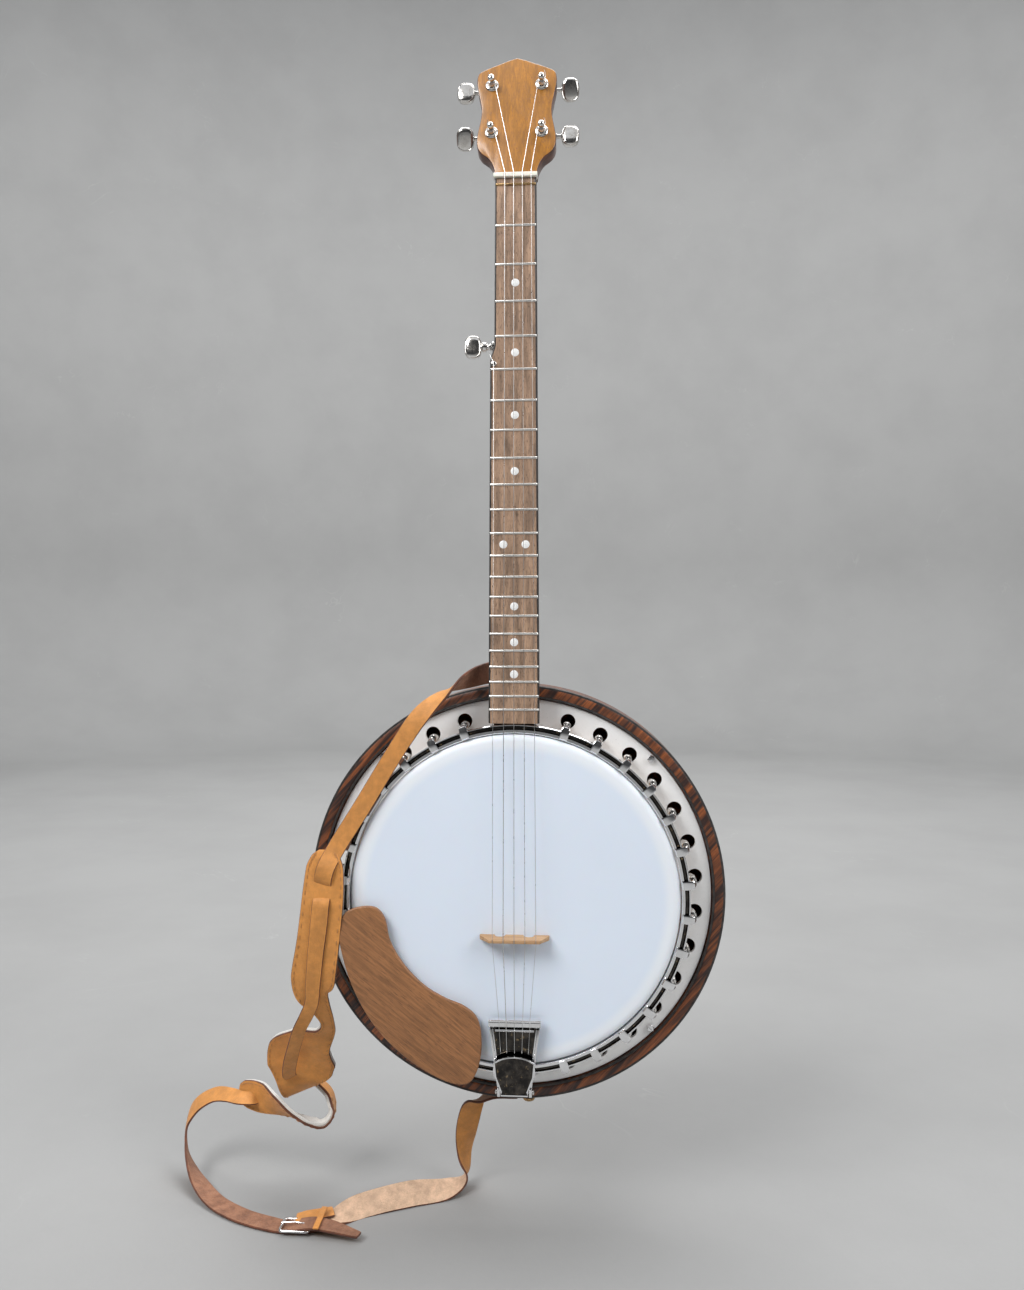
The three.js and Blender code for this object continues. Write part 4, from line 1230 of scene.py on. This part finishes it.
class BuildArmrest(bpy.types.Operator):
    """Wooden armrest and its two clamps on the hoop"""
    bl_idname = "banjo.build_armrest"
    bl_label = "Armrest"

    def execute(self, context):
        bm = bmesh.new()
        plate(bm, spline(ARMREST_EDGE, 140, True), ARMREST_FRONT, ARMREST_BACK)
        soften(bm, 1.3, 4, 60)
        piece("armrest", bm, armrest_wood(), ["armrest_plate"])
        for i, angle in enumerate(ARMREST_CLAMPS):
            turn = Matrix.Rotation(math.radians(angle), 4, "Y")
            bm = bmesh.new()
            block(bm, (-5, 5), (-102.7, -101.2), (144, 157), turn)
            block(bm, (-4, 4), (-87.4, -85.8), (143, 156), turn)
            soften(bm, 0.4)
            rod(bm, turn @ Vector((0, -101.4, 152.6)), turn @ Vector((0, -78, 152.6)),
                [(0, 0), (2, 0), (2, 13), (3.4, 13.2), (3.4, 16.6), (2.8, 17.2), (2, 17.2), (2, 22.6),
                 (0, 23)], 6)
            piece(f"armrest_bracket_{i + 1}", bm, chrome(), [f"armrest_clamp_{i + 1}"])
        return {"FINISHED"}


# ---------------------------------------------------------------- tuning machines
BUTTON_TURN = (28, 0, 35, 0)
BUTTON_REACH = 25
BUTTON_FACE = ((0.3, 0.98), (0.6, 0.94), (0.8, 0.82), (0.86, 0.72), (0.9, 0.78), (0.96, 0.66), (1, 0.3))
BUTTON_SKIN = BUTTON_FACE + tuple((share, -lift) for share, lift in BUTTON_FACE[::-1])
WORM_DEPTH = 19
WORM_RISE = 8
WORM_START = 5.4
BORE_RADIUS = 2.5
STRING_HOLE_DEPTH = -8.9


def finger_button(bm, place, half_wide, half_tall, half_thick):
    """A barrel-shaped button with a rolled rim, lying in the place's XZ plane."""
    outline = lozenge(2 * half_wide, 2 * half_tall, 0.72, 40)
    rings = []
    for share, lift in BUTTON_SKIN:
        rings.append([at(place, x * share, lift * half_thick, z * share) for x, z in outline])
    skin(bm, rings)


class BuildTuners(bpy.types.Operator):
    """Four geared tuning machines and the short string's peg"""
    bl_idname = "banjo.build_tuners"
    bl_label = "Tuning machines"

    def execute(self, context):
        for i, (x, s, side) in enumerate(POSTS):
            self.machine(i + 1, x, s, side)
        self.short_peg()
        return {"FINISHED"}

    def machine(self, number, x, s, side):
        centre = HEADSTOCK @ Matrix.Translation((x, 0, s))
        bm = bmesh.new()
        lathe(bm, [(3.4, -0.1), (5.8, -0.1), (5.8, -0.6), (5.2, -1.2), (4.8, -1.3), (4.4, -2), (3.7, -2.2),
                   (3.4, -2.1)], centre, 40)
        piece(f"bushing_{number}", bm, nickel(), [f"tuner_bushing_{number}"])
        bm = bmesh.new()
        lathe(bm, [(0, -12), (1.4, -11.9), (2.4, -11.4), (2.9, -10.5), (3, -9.4), (2.9, -8.4), (2.4, -7.6),
                   (2.3, -7), (2.3, -4.8), (2.5, -4), (3, -3.2), (3.1, 15.3), (3.2, 15.6), (4.4, 15.6),
                   (4.4, 22.2), (3.9, 22.4), (0, 22.4)], centre, 56, {13: (14, 0.8), 14: (14, 0.8)})
        hole = bmesh.new()
        rod(hole, at(centre, -6, STRING_HOLE_DEPTH, 0), at(centre, 6, STRING_HOLE_DEPTH, 0),
            [(0, 0), (0.7, 0), (0.7, 12), (0, 12)], 12)
        piece(f"post_barrel_{number}", combine(bm, hole, "DIFFERENCE"), nickel(),
              [f"tuner_post_{number}"], body=f"post_{number}")
        bm = bmesh.new()
        block(bm, (-7.5, 7.5), (14.3, 25.2), (-7, 14), centre)
        soften(bm, 2.2, 4)
        inside = bmesh.new()
        block(inside, (-6, 6), (10, 23.8), (-5.6, 12.4), centre)
        bm = combine(bm, inside, "DIFFERENCE")
        bore = bmesh.new()
        rod(bore, at(centre, side * 4, WORM_DEPTH, WORM_RISE), at(centre, side * 18, WORM_DEPTH, WORM_RISE),
            [(0, 0), (BORE_RADIUS, 0), (BORE_RADIUS, 14), (0, 14)], 24)
        bm = combine(bm, bore, "DIFFERENCE")
        plate(bm, rounded([(-7.4, -9.6), (7.4, -9.6), (7.4, -6.8), (-7.4, -6.8)], 1.2), 14.2, 15.2, centre)
        for height, reach in ((-8.4, 1.3), (3.4, 2.8)):
            depth = 15.2 if height < 0 else 25.2
            rod(bm, at(centre, 0, depth + 0.9, height), at(centre, 0, depth - 1, height),
                [(0, 0), (reach * 0.6, 0), (reach, 0.5), (reach, 1.5), (0, 1.5)], 24)
        piece(f"gear_cover_{number}", bm, nickel(), [f"tuner_housing_{number}"])
        shaft = centre @ Matrix.Translation((0, WORM_DEPTH, WORM_RISE))
        bm = bmesh.new()
        thread = [(3.1 if k % 2 else 2.5, 1 + k * 0.6) for k in range(16)]
        rod(bm, at(shaft, side * -WORM_START, 0, 0), at(shaft, side * 10, 0, 0),
            [(0, 0), (2.0, 0), *thread, (2.05, 10.8), (2.05, 13.4), (2.9, 13.6), (3.1, 14.2), (2.9, 14.8),
             (2.05, 15), (2.05, 17.4), (2.5, 17.6), (2.5, 18.4), (1.9, 18.6), (1.9, 22), (2.6, 22.4),
             (2.7, 23.4), (2.0, 24.2), (2.0, 27), (0, 27)], 24)
        spin = Matrix.Rotation(math.radians(BUTTON_TURN[number - 1]), 4, "X")
        finger_button(bm, shaft @ Matrix.Translation((side * BUTTON_REACH, 0, 0)) @ spin, 8, 9.8, 3.3)
        piece(f"button_paddle_{number}", bm, nickel(), [f"tuner_button_{number}"],
              body=f"button_{number}")

    def short_peg(self):
        line = NECK @ Matrix.Translation((0, PEG_DEPTH, PEG_ALONG))
        outward = (at(line, -11, 0, 0), at(line, -30, 0, 0))
        bm = bmesh.new()
        rod(bm, *outward, [(2.2, 0), (4.1, 0), (4.1, 7.8), (5.1, 8.2), (5.2, 9.4), (4.7, 10), (2.2, 10)],
            32)
        piece("peg_sleeve", bm, nickel(), ["fifth_peg_sleeve"])
        bm = bmesh.new()
        rod(bm, *outward, [(0, 1), (1.9, 1), (1.9, 10.3), (2.9, 10.5), (3, 11.6), (2.2, 12.2), (2.2, 13),
                           (3, 13.6), (3, 14.4), (4.4, 14.9), (4.5, 17.6), (3.6, 18.4), (2.4, 18.8),
                           (2.4, 24), (0, 24)], 32)
        finger_button(bm, line @ Matrix.Translation((-37.4, 0, 0)), 7.5, 10, 3.5)
        piece("peg_paddle", bm, nickel(), ["fifth_peg"], body="fifth_peg")


# ---------------------------------------------------------------- strap
STRAP_SKIN = 1.1
END_SKIN = 1
THIN_SKIN = 0.9
PAD_LEATHER = (0.1, 2.2)
PAD_FELT = (-2.6, 0)
STITCH_GAP = 1.4
STITCH_INSET = 2.6
THREAD_RADIUS = 0.32


class Route:
    """A strap's route. Each stop is [x, depth, height, side x, side y, side z, width]."""

    def __init__(self, stops, steps):
        self.points = spline([s[:3] for s in stops], steps)
        self.sides = [s.normalized() for s in spline([Vector(s[3:6]).normalized() for s in stops], steps)]
        self.widths = [w.y for w in spline([(i, s[6]) for i, s in enumerate(stops)], steps)]
        self.steps = steps

    def frame(self, share):
        """Point, tangent, side and normal at a share of the route, and its width there."""
        i = min(int(share * self.steps), self.steps - 1)
        w = share * self.steps - i
        point = self.points[i].lerp(self.points[i + 1], w)
        tangent = (self.points[i + 1] - self.points[i]).normalized()
        side = self.sides[i].lerp(self.sides[i + 1], w)
        side = (side - tangent * side.dot(tangent)).normalized()
        return point, tangent, side, tangent.cross(side), self.widths[i] * (1 - w) + self.widths[i + 1] * w

    def length(self):
        return sum((b - a).length for a, b in zip(self.points, self.points[1:])) * MM

    def width(self):
        return sum(self.widths) / len(self.widths) * MM


def band(bm, route, low, high, narrower=0.0):
    """Leather along a route, between two heights over its middle. Faces 3, 4, 8 and 9 of a ring are edges."""
    last = len(route.points) - 1

    def section(i):
        half = route.widths[i] / 2 - narrower
        if i in (0, last):
            half -= 0.4
        e = 0.5
        return [(half - e, high), (half / 3, high + 0.12), (-half / 3, high + 0.12), (-half + e, high),
                (-half, (low + high) / 2), (-half + e, low), (-half / 3, low), (half / 3, low),
                (half - e, low),
                (half, (low + high) / 2)]

    sweep(bm, route.points, section, route.sides)
    bm.faces.index_update()


def strap_faces(face):
    """0 on the outer side, 1 on the inner side and 2 on the cut edges and ends."""
    if len(face.verts) > 4:
        return 2
    return (0, 0, 0, 2, 2, 1, 1, 1, 2, 2)[face.index % 10]


def strap_piece(name, route, low, high, finishes, stands_for=(), held="hung", rests_on=(), narrower=0.0):
    """A band of leather or felt along a route. Three finishes are its outer side, inner side and edges."""
    bm = bmesh.new()
    band(bm, route, low, high, narrower)
    choose = strap_faces if len(finishes) > 1 else None
    made = piece(name, bm, finishes, stands_for, choose=choose)
    route.width() - 2 * narrower * MM
    route.length()
    return made


def stitches(bm, route, height, first, last):
    """Stitches along both edges of a route."""
    run = route.length() / MM * (last - first)
    step = size("stitch_length") + STITCH_GAP
    for sign in (-1, 1):
        for k in range(int(run / step)):
            share = first + (k + 0.5) * step / run * (last - first)
            point, tangent, side, normal, width = route.frame(min(share, 1))
            centre = point + side * sign * (width / 2 - STITCH_INSET)
            ends = [(-0.5, 0), (-0.25, 0.35), (0.25, 0.35), (0.5, 0)]
            tube(bm, [centre + tangent * a * size("stitch_length") + normal * (height + b) for a, b in ends],
                 THREAD_RADIUS, 6)


class BuildStrap(bpy.types.Operator):
    """Leather shoulder strap with its pad, buckle, keeper and button"""
    bl_idname = "banjo.build_strap"
    bl_label = "Strap"

    def execute(self, context):
        self.upper()
        self.pad()
        self.tail()
        self.lower()
        self.fittings()
        return {"FINISHED"}

    def upper(self):
        route = Route([
            (12, -46, 192, 0, 0, 1, 19), (-12, -46, 192.5, 0, 0, 1, 19), (-24, -58, 191.5, 0, 0, 1, 19),
            (-34, -75, 189, 0.05, -0.2, 1, 18.5), (-46, -90, 184, 0.3, -0.6, 0.7, 18),
            (-62, -99, 173, 0.65, -0.75, -0.1, 17.5),
            (-79, -103, 157, 0.8, -0.35, -0.5, 17), (-96, -103, 133, 0.83, 0, -0.55, 15.5),
            (-131, -103, 76, 0.84, 0, -0.54, 15.5), (-152, -106, 42, 0.88, 0, -0.47, 15.5),
            (-159, -111.6, 27, 0.92, 0, -0.4, 15.5), (-161.5, -110.6, 17, 0.95, 0, -0.3, 15.5),
            (-162, -105, 10, 0.97, 0, -0.2, 15)], 130)
        strap_piece("strap_over_pot", route, -STRAP_SKIN, STRAP_SKIN,
                    [tan_leather(), dark_flesh(), cut_edge()], ["strap_upper"],
                    rests_on=["neck_and_headstock"])

    def pad(self):
        sides = [pad_leather(), flesh_side(), cut_edge()]
        route = Route([
            (-160, -105, 42, 0.98, 0, -0.17, 12), (-160, -106, 38, 0.98, 0, -0.17, 23),
            (-160.3, -107, 28, 0.98, 0, -0.15, 32),
            (-162, -107.4, 2, 1, 0, 0, 36), (-167, -105, -38, 0.99, 0, 0.1, 37),
            (-172.5, -100, -69, 0.98, 0, 0.15, 38.5),
            (-174.5, -96, -84, 0.97, 0, 0.2, 31), (-168.5, -90, -99, 0.97, 0.1, 0.2, 17),
            (-165.5, -81, -114, 0.9, 0.4, 0.1, 12),
            (-170, -70, -128, 0.9, 0.3, -0.2, 18), (-186, -60, -142, 0.92, 0.1, -0.38, 44),
            (-196, -50, -157, 0.94, 0.05, -0.28, 64), (-200, -44, -173, 0.97, 0, 0.1, 60),
            (-203, -39, -188, 0.95, 0, 0.3, 38),
            (-203, -29, -198, 0.9, 0, 0.4, 34), (-202, -18, -197, 0.9, 0, 0.4, 30)], 170)
        strap_piece("pad_leather", route, *PAD_LEATHER, sides, ["strap_pad"])
        strap_piece("pad_backing", route, *PAD_FELT, [felt()], narrower=0.3)
        fold = Route([
            (-263, -24, -203.5, 0.2, 0, 1, 14), (-259, -25, -204, 0.2, 0, 1, 22),
            (-252, -27, -205, 0.15, 0, 1, 27),
            (-240, -30, -207, 0.1, -0.15, 1, 30), (-225, -35, -211, 0, -0.55, 0.85, 29),
            (-208, -38, -218, 0, -0.85, 0.55, 27),
            (-192, -37, -225, 0, -0.95, 0.35, 26), (-182, -33, -227, 0.1, -1, 0.2, 24),
            (-176, -24, -222, 0.1, -1, 0.2, 22),
            (-180, -15, -209, 0.1, -1, 0.1, 18), (-192, -12, -198, 0.1, -1, 0.1, 16)], 130)
        strap_piece("pad_fold", fold, *PAD_LEATHER, sides, rests_on=["pad_leather"])
        strap_piece("pad_fold_backing", fold, *PAD_FELT, [felt()], narrower=0.3)
        bm = bmesh.new()
        stitches(bm, route, PAD_LEATHER[1] + 0.05, 0.05, 0.98)
        stitches(bm, fold, PAD_LEATHER[1] + 0.05, 0.05, 0.9)
        piece("pad_stitching", bm, thread())
        laced = Route([
            (-162.4, -105.5, 5, 1, 0, 0, 15), (-163, -110.8, -2, 1, 0, 0.03, 15),
            (-165, -110.4, -20, 0.99, 0, 0.1, 15),
            (-168.8, -107.4, -48, 0.98, 0, 0.15, 14), (-172.4, -102.8, -76, 0.97, 0, 0.2, 13),
            (-174.5, -99, -92, 0.97, 0, 0.22, 12), (-180, -95, -104, 0.93, 0, 0.35, 12),
            (-188, -89, -119, 0.9, 0, 0.42, 12),
            (-196, -78, -139, 0.9, 0, 0.42, 12), (-203, -66, -158, 0.9, 0, 0.4, 12.5),
            (-208, -52, -175, 0.9, 0, 0.4, 12),
            (-209, -42, -182, 0.9, 0, 0.4, 12)], 120)
        strap_piece("strap_laced_through_pad", laced, -THIN_SKIN, THIN_SKIN,
                    [tan_leather(), flesh_side(), cut_edge()],
                    rests_on=["pad_leather"])

    def tail(self):
        route = Route([
            (-244, -26, -207.5, 0, -0.7, -0.7, 12), (-250, -33, -206.5, 0, -0.8, -0.6, 13),
            (-259, -34, -206, 0, -0.85, -0.5, 14),
            (-272, -27, -207, 0, -0.9, -0.4, 15), (-292, -15, -213, 0.1, -0.85, -0.5, 16),
            (-313, -8, -229, 0.25, -0.8, -0.4, 18), (-320, -10, -246, 0.34, -0.84, 0.3, 18),
            (-316, -21, -260, 0.3, -0.85, 0.35, 18.5), (-305, -35, -271.5, 0.15, -0.95, 0.2, 19),
            (-290, -51, -279.5, 0, -1, 0.05, 19),
            (-270, -69, -284, 0, -1, 0, 19), (-240, -87, -285, 0, -1, 0, 19),
            (-212, -97, -285.2, 0, -1, 0, 19),
            (-199, -100, -285.2, 0, -1, 0, 18), (-186, -102.5, -281.8, 0, -1, 0, 18),
            (-173, -104.5, -278.8, 0, -1, 0, 18),
            (-158, -107, -279, 0, -1, 0, 17), (-130, -115, -281, 0, -1, 0, 9)], 160)
        strap_piece("strap_tapered_end", route, -END_SKIN, END_SKIN,
                    [tan_leather(), dark_flesh(), cut_edge()], ["strap_tail"],
                    held="laid", rests_on=["strap_buckle_frame"])

    def lower(self):
        route = Route([
            (-183, -100, -285.3, -0.3, -1, 0, 20), (-166, -92, -285, -0.35, -0.9, 0, 20),
            (-138, -73, -281, -0.3, -0.8, -0.5, 22),
            (-98, -54, -279, -0.2, -0.75, -0.5, 23), (-64, -38, -281, -0.1, -0.9, -0.3, 22),
            (-50, -27, -275, 0, -1, 0, 20),
            (-51, -20, -257, -0.5, -0.8, 0, 20), (-46, -33, -220, -1, 0, -0.1, 20),
            (-38, -41, -199, -0.9, -0.2, -0.4, 20),
            (-20, -43.5, -190.5, -0.2, -0.95, 0, 20), (0, -43, -189.5, 0, -1, 0, 20)], 120)
        strap_piece("strap_under_pot", route, -STRAP_SKIN, STRAP_SKIN,
                    [tan_leather(), flesh_side(), cut_edge()], ["strap_lower"],
                    rests_on=["strap_stud"])
        turned = Route([(-190, -92, -282.4, 0, 1, 0, 15), (-184, -91, -281.4, 0, 1, 0, 16),
                        (-172, -86, -281.6, 0, 1, 0, 16),
                        (-160, -81, -281.6, 0, 1, 0, 15)], 24)
        strap_piece("strap_turned_end", turned, -THIN_SKIN, THIN_SKIN,
                    [pad_leather(), flesh_side(), cut_edge()], held="laid",
                    rests_on=["strap_under_pot"])

    def fittings(self):
        loop = rounded([(-201, -113), (-173, -113), (-173, -92), (-201, -92)], 5, 8)
        route = [Vector((x, y, -282.1)) for x, y in loop]
        bm = bmesh.new()
        rings = []
        for i, point in enumerate(route):
            along = (route[(i + 1) % len(route)] - route[i - 1]).normalized()
            out = along.cross(Vector((0, 0, 1)))
            rings.append([point - out * 1.4 + out * a + Vector((0, 0, b)) for a, b in circle(1.15, 12)])
        skin(bm, rings + rings[:1], ends=False)
        bmesh.ops.remove_doubles(bm, verts=bm.verts, dist=0.001)
        prong = [(-173.2, -103.5, -281.2), (-178, -103.6, -279.8), (-188, -103.4, -278.6),
                 (-200, -102.6, -280.2)]
        tube(bm, prong, 0.8, 10)
        piece("strap_buckle_frame", bm, chrome(), ["strap_buckle"])
        bm = bmesh.new()
        block(bm, (-169.5, -164.5), (-116, -84), (-277, -275.4))
        soften(bm, 0.5, 2)
        piece("keeper_loop", bm, [pad_leather()], ["strap_keeper"])
        bm = bmesh.new()
        rod(bm, (-168, -85, -278.6), (-168, -85, -281),
            [(0, 0), (1.6, 0.1), (2.2, 0.6), (2.2, 1.1), (0, 1.1)], 24)
        piece("keeper_rivet", bm, aged_brass())
        bm = bmesh.new()
        rod(bm, (10, -43, -181.9), (10, -43, -190),
            [(0, 0), (4, 0), (4, 5.2), (3.2, 5.5), (2.4, 6), (2.4, 9.4), (4.6, 9.7), (5.4, 10.4), (5.4, 12),
             (4.6, 13), (0, 13.1)], 40)
        piece("strap_stud", bm, aged_brass(), ["strap_button"])


# ---------------------------------------------------------------- stage
FLOOR = -0.287
FLOOR_RADIUS = 3.6
COVE = 0.9
WALL_TOP = 4.2
CAMERA_PLACE = (0.0535, -0.9432, 0.2234)
CAMERA_TURN = (89.53, 0.0, 3.74)
CAMERA_LENS = 27.9


def softbox(name, place, target, wide, tall, power):
    """A rectangular light that faces its target."""
    light = bpy.data.lights.new(name, "AREA")
    light.shape = "RECTANGLE"
    light.size, light.size_y = wide, tall
    light.energy = power
    made = bpy.data.objects.new(name, light)
    made.location = place
    made.rotation_euler = (Vector(target) - Vector(place)).to_track_quat("-Z", "Y").to_euler()
    bpy.context.scene.collection.objects.link(made)


class BuildStage(bpy.types.Operator):
    """Camera, floor with its curved backdrop, and soft lights"""
    bl_idname = "banjo.build_stage"
    bl_label = "Stage"

    def execute(self, context):
        data = bpy.data.cameras.new("camera")
        data.lens = CAMERA_LENS
        camera = bpy.data.objects.new("camera", data)
        camera.location = CAMERA_PLACE
        camera.rotation_euler = [math.radians(a) for a in CAMERA_TURN]
        context.scene.collection.objects.link(camera)
        context.scene.camera = camera
        bends = [math.pi / 2 * k / 16 for k in range(17)]
        sweep_up = [(FLOOR_RADIUS + math.sin(t) * COVE, FLOOR + (1 - math.cos(t)) * COVE) for t in bends]
        bm = bmesh.new()
        upright = Matrix.Rotation(math.radians(90), 4, "X")
        lathe(bm, [(0, FLOOR), *sweep_up, (FLOOR_RADIUS + COVE, WALL_TOP)], upright, 96)
        for face in bm.faces:
            face.smooth = True
        mesh = bpy.data.meshes.new("backdrop")
        bm.to_mesh(mesh)
        bm.free()
        mesh.materials.append(studio_floor())
        backdrop = bpy.data.objects.new("backdrop", mesh)
        context.scene.collection.objects.link(backdrop)
        softbox("key", (-1.5, -1.7, 2.1), (0, 0, 0.1), 1.6, 1.2, 74)
        softbox("fill", (2.0, -1.4, 1.5), (0, 0, 0.2), 1.2, 1.6, 34)
        softbox("top", (0.2, 0.4, 2.6), (0, 0, 0), 2.2, 1.4, 48)
        softbox("back", (0, 1.7, 2.7), (0, 4.2, 0.5), 4.5, 1.6, 110)
        world = bpy.data.worlds.new("studio")
        context.scene.world = world
        world.use_nodes = True
        world.node_tree.nodes["Background"].inputs["Color"].default_value = (0.8, 0.82, 0.85, 1)
        world.node_tree.nodes["Background"].inputs["Strength"].default_value = 0.85
        context.scene.view_settings.view_transform = "Standard"
        return {"FINISHED"}


# ---------------------------------------------------------------- add-on
STEPS = (BuildStage, BuildResonator, BuildRim, BuildFlange, BuildHoop, BuildNeck, BuildFretboard,
         BuildBridge,
         BuildStrings, BuildTailpiece, BuildArmrest, BuildTuners, BuildStrap)


class BanjoPanel(bpy.types.Panel):
    """Lists the sizes, the colours and the steps of the build"""
    bl_idname = "VIEW3D_PT_banjo"
    bl_label = "Banjo"
    bl_space_type = "VIEW_3D"
    bl_region_type = "UI"
    bl_category = "Banjo"

    def draw(self, context):
        for group in (context.scene.banjo_sizes, context.scene.banjo_colours):
            box = self.layout.box()
            for field in group.bl_rna.properties:
                if field.identifier not in ("name", "rna_type"):
                    box.prop(group, field.identifier)
        for step in STEPS:
            self.layout.operator(step.bl_idname)


CLASSES = (BanjoSizes, BanjoColours, *STEPS, BanjoPanel)


def register():
    for item in CLASSES:
        bpy.utils.register_class(item)
    bpy.types.Scene.banjo_sizes = bpy.props.PointerProperty(type=BanjoSizes)
    bpy.types.Scene.banjo_colours = bpy.props.PointerProperty(type=BanjoColours)


def unregister():
    del bpy.types.Scene.banjo_colours
    del bpy.types.Scene.banjo_sizes
    for item in reversed(CLASSES):
        bpy.utils.unregister_class(item)


def main():
    register()
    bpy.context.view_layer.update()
    for step in STEPS:
        group, name = step.bl_idname.split(".")
        getattr(getattr(bpy.ops, group), name)()


if __name__ == "__main__":
    main()
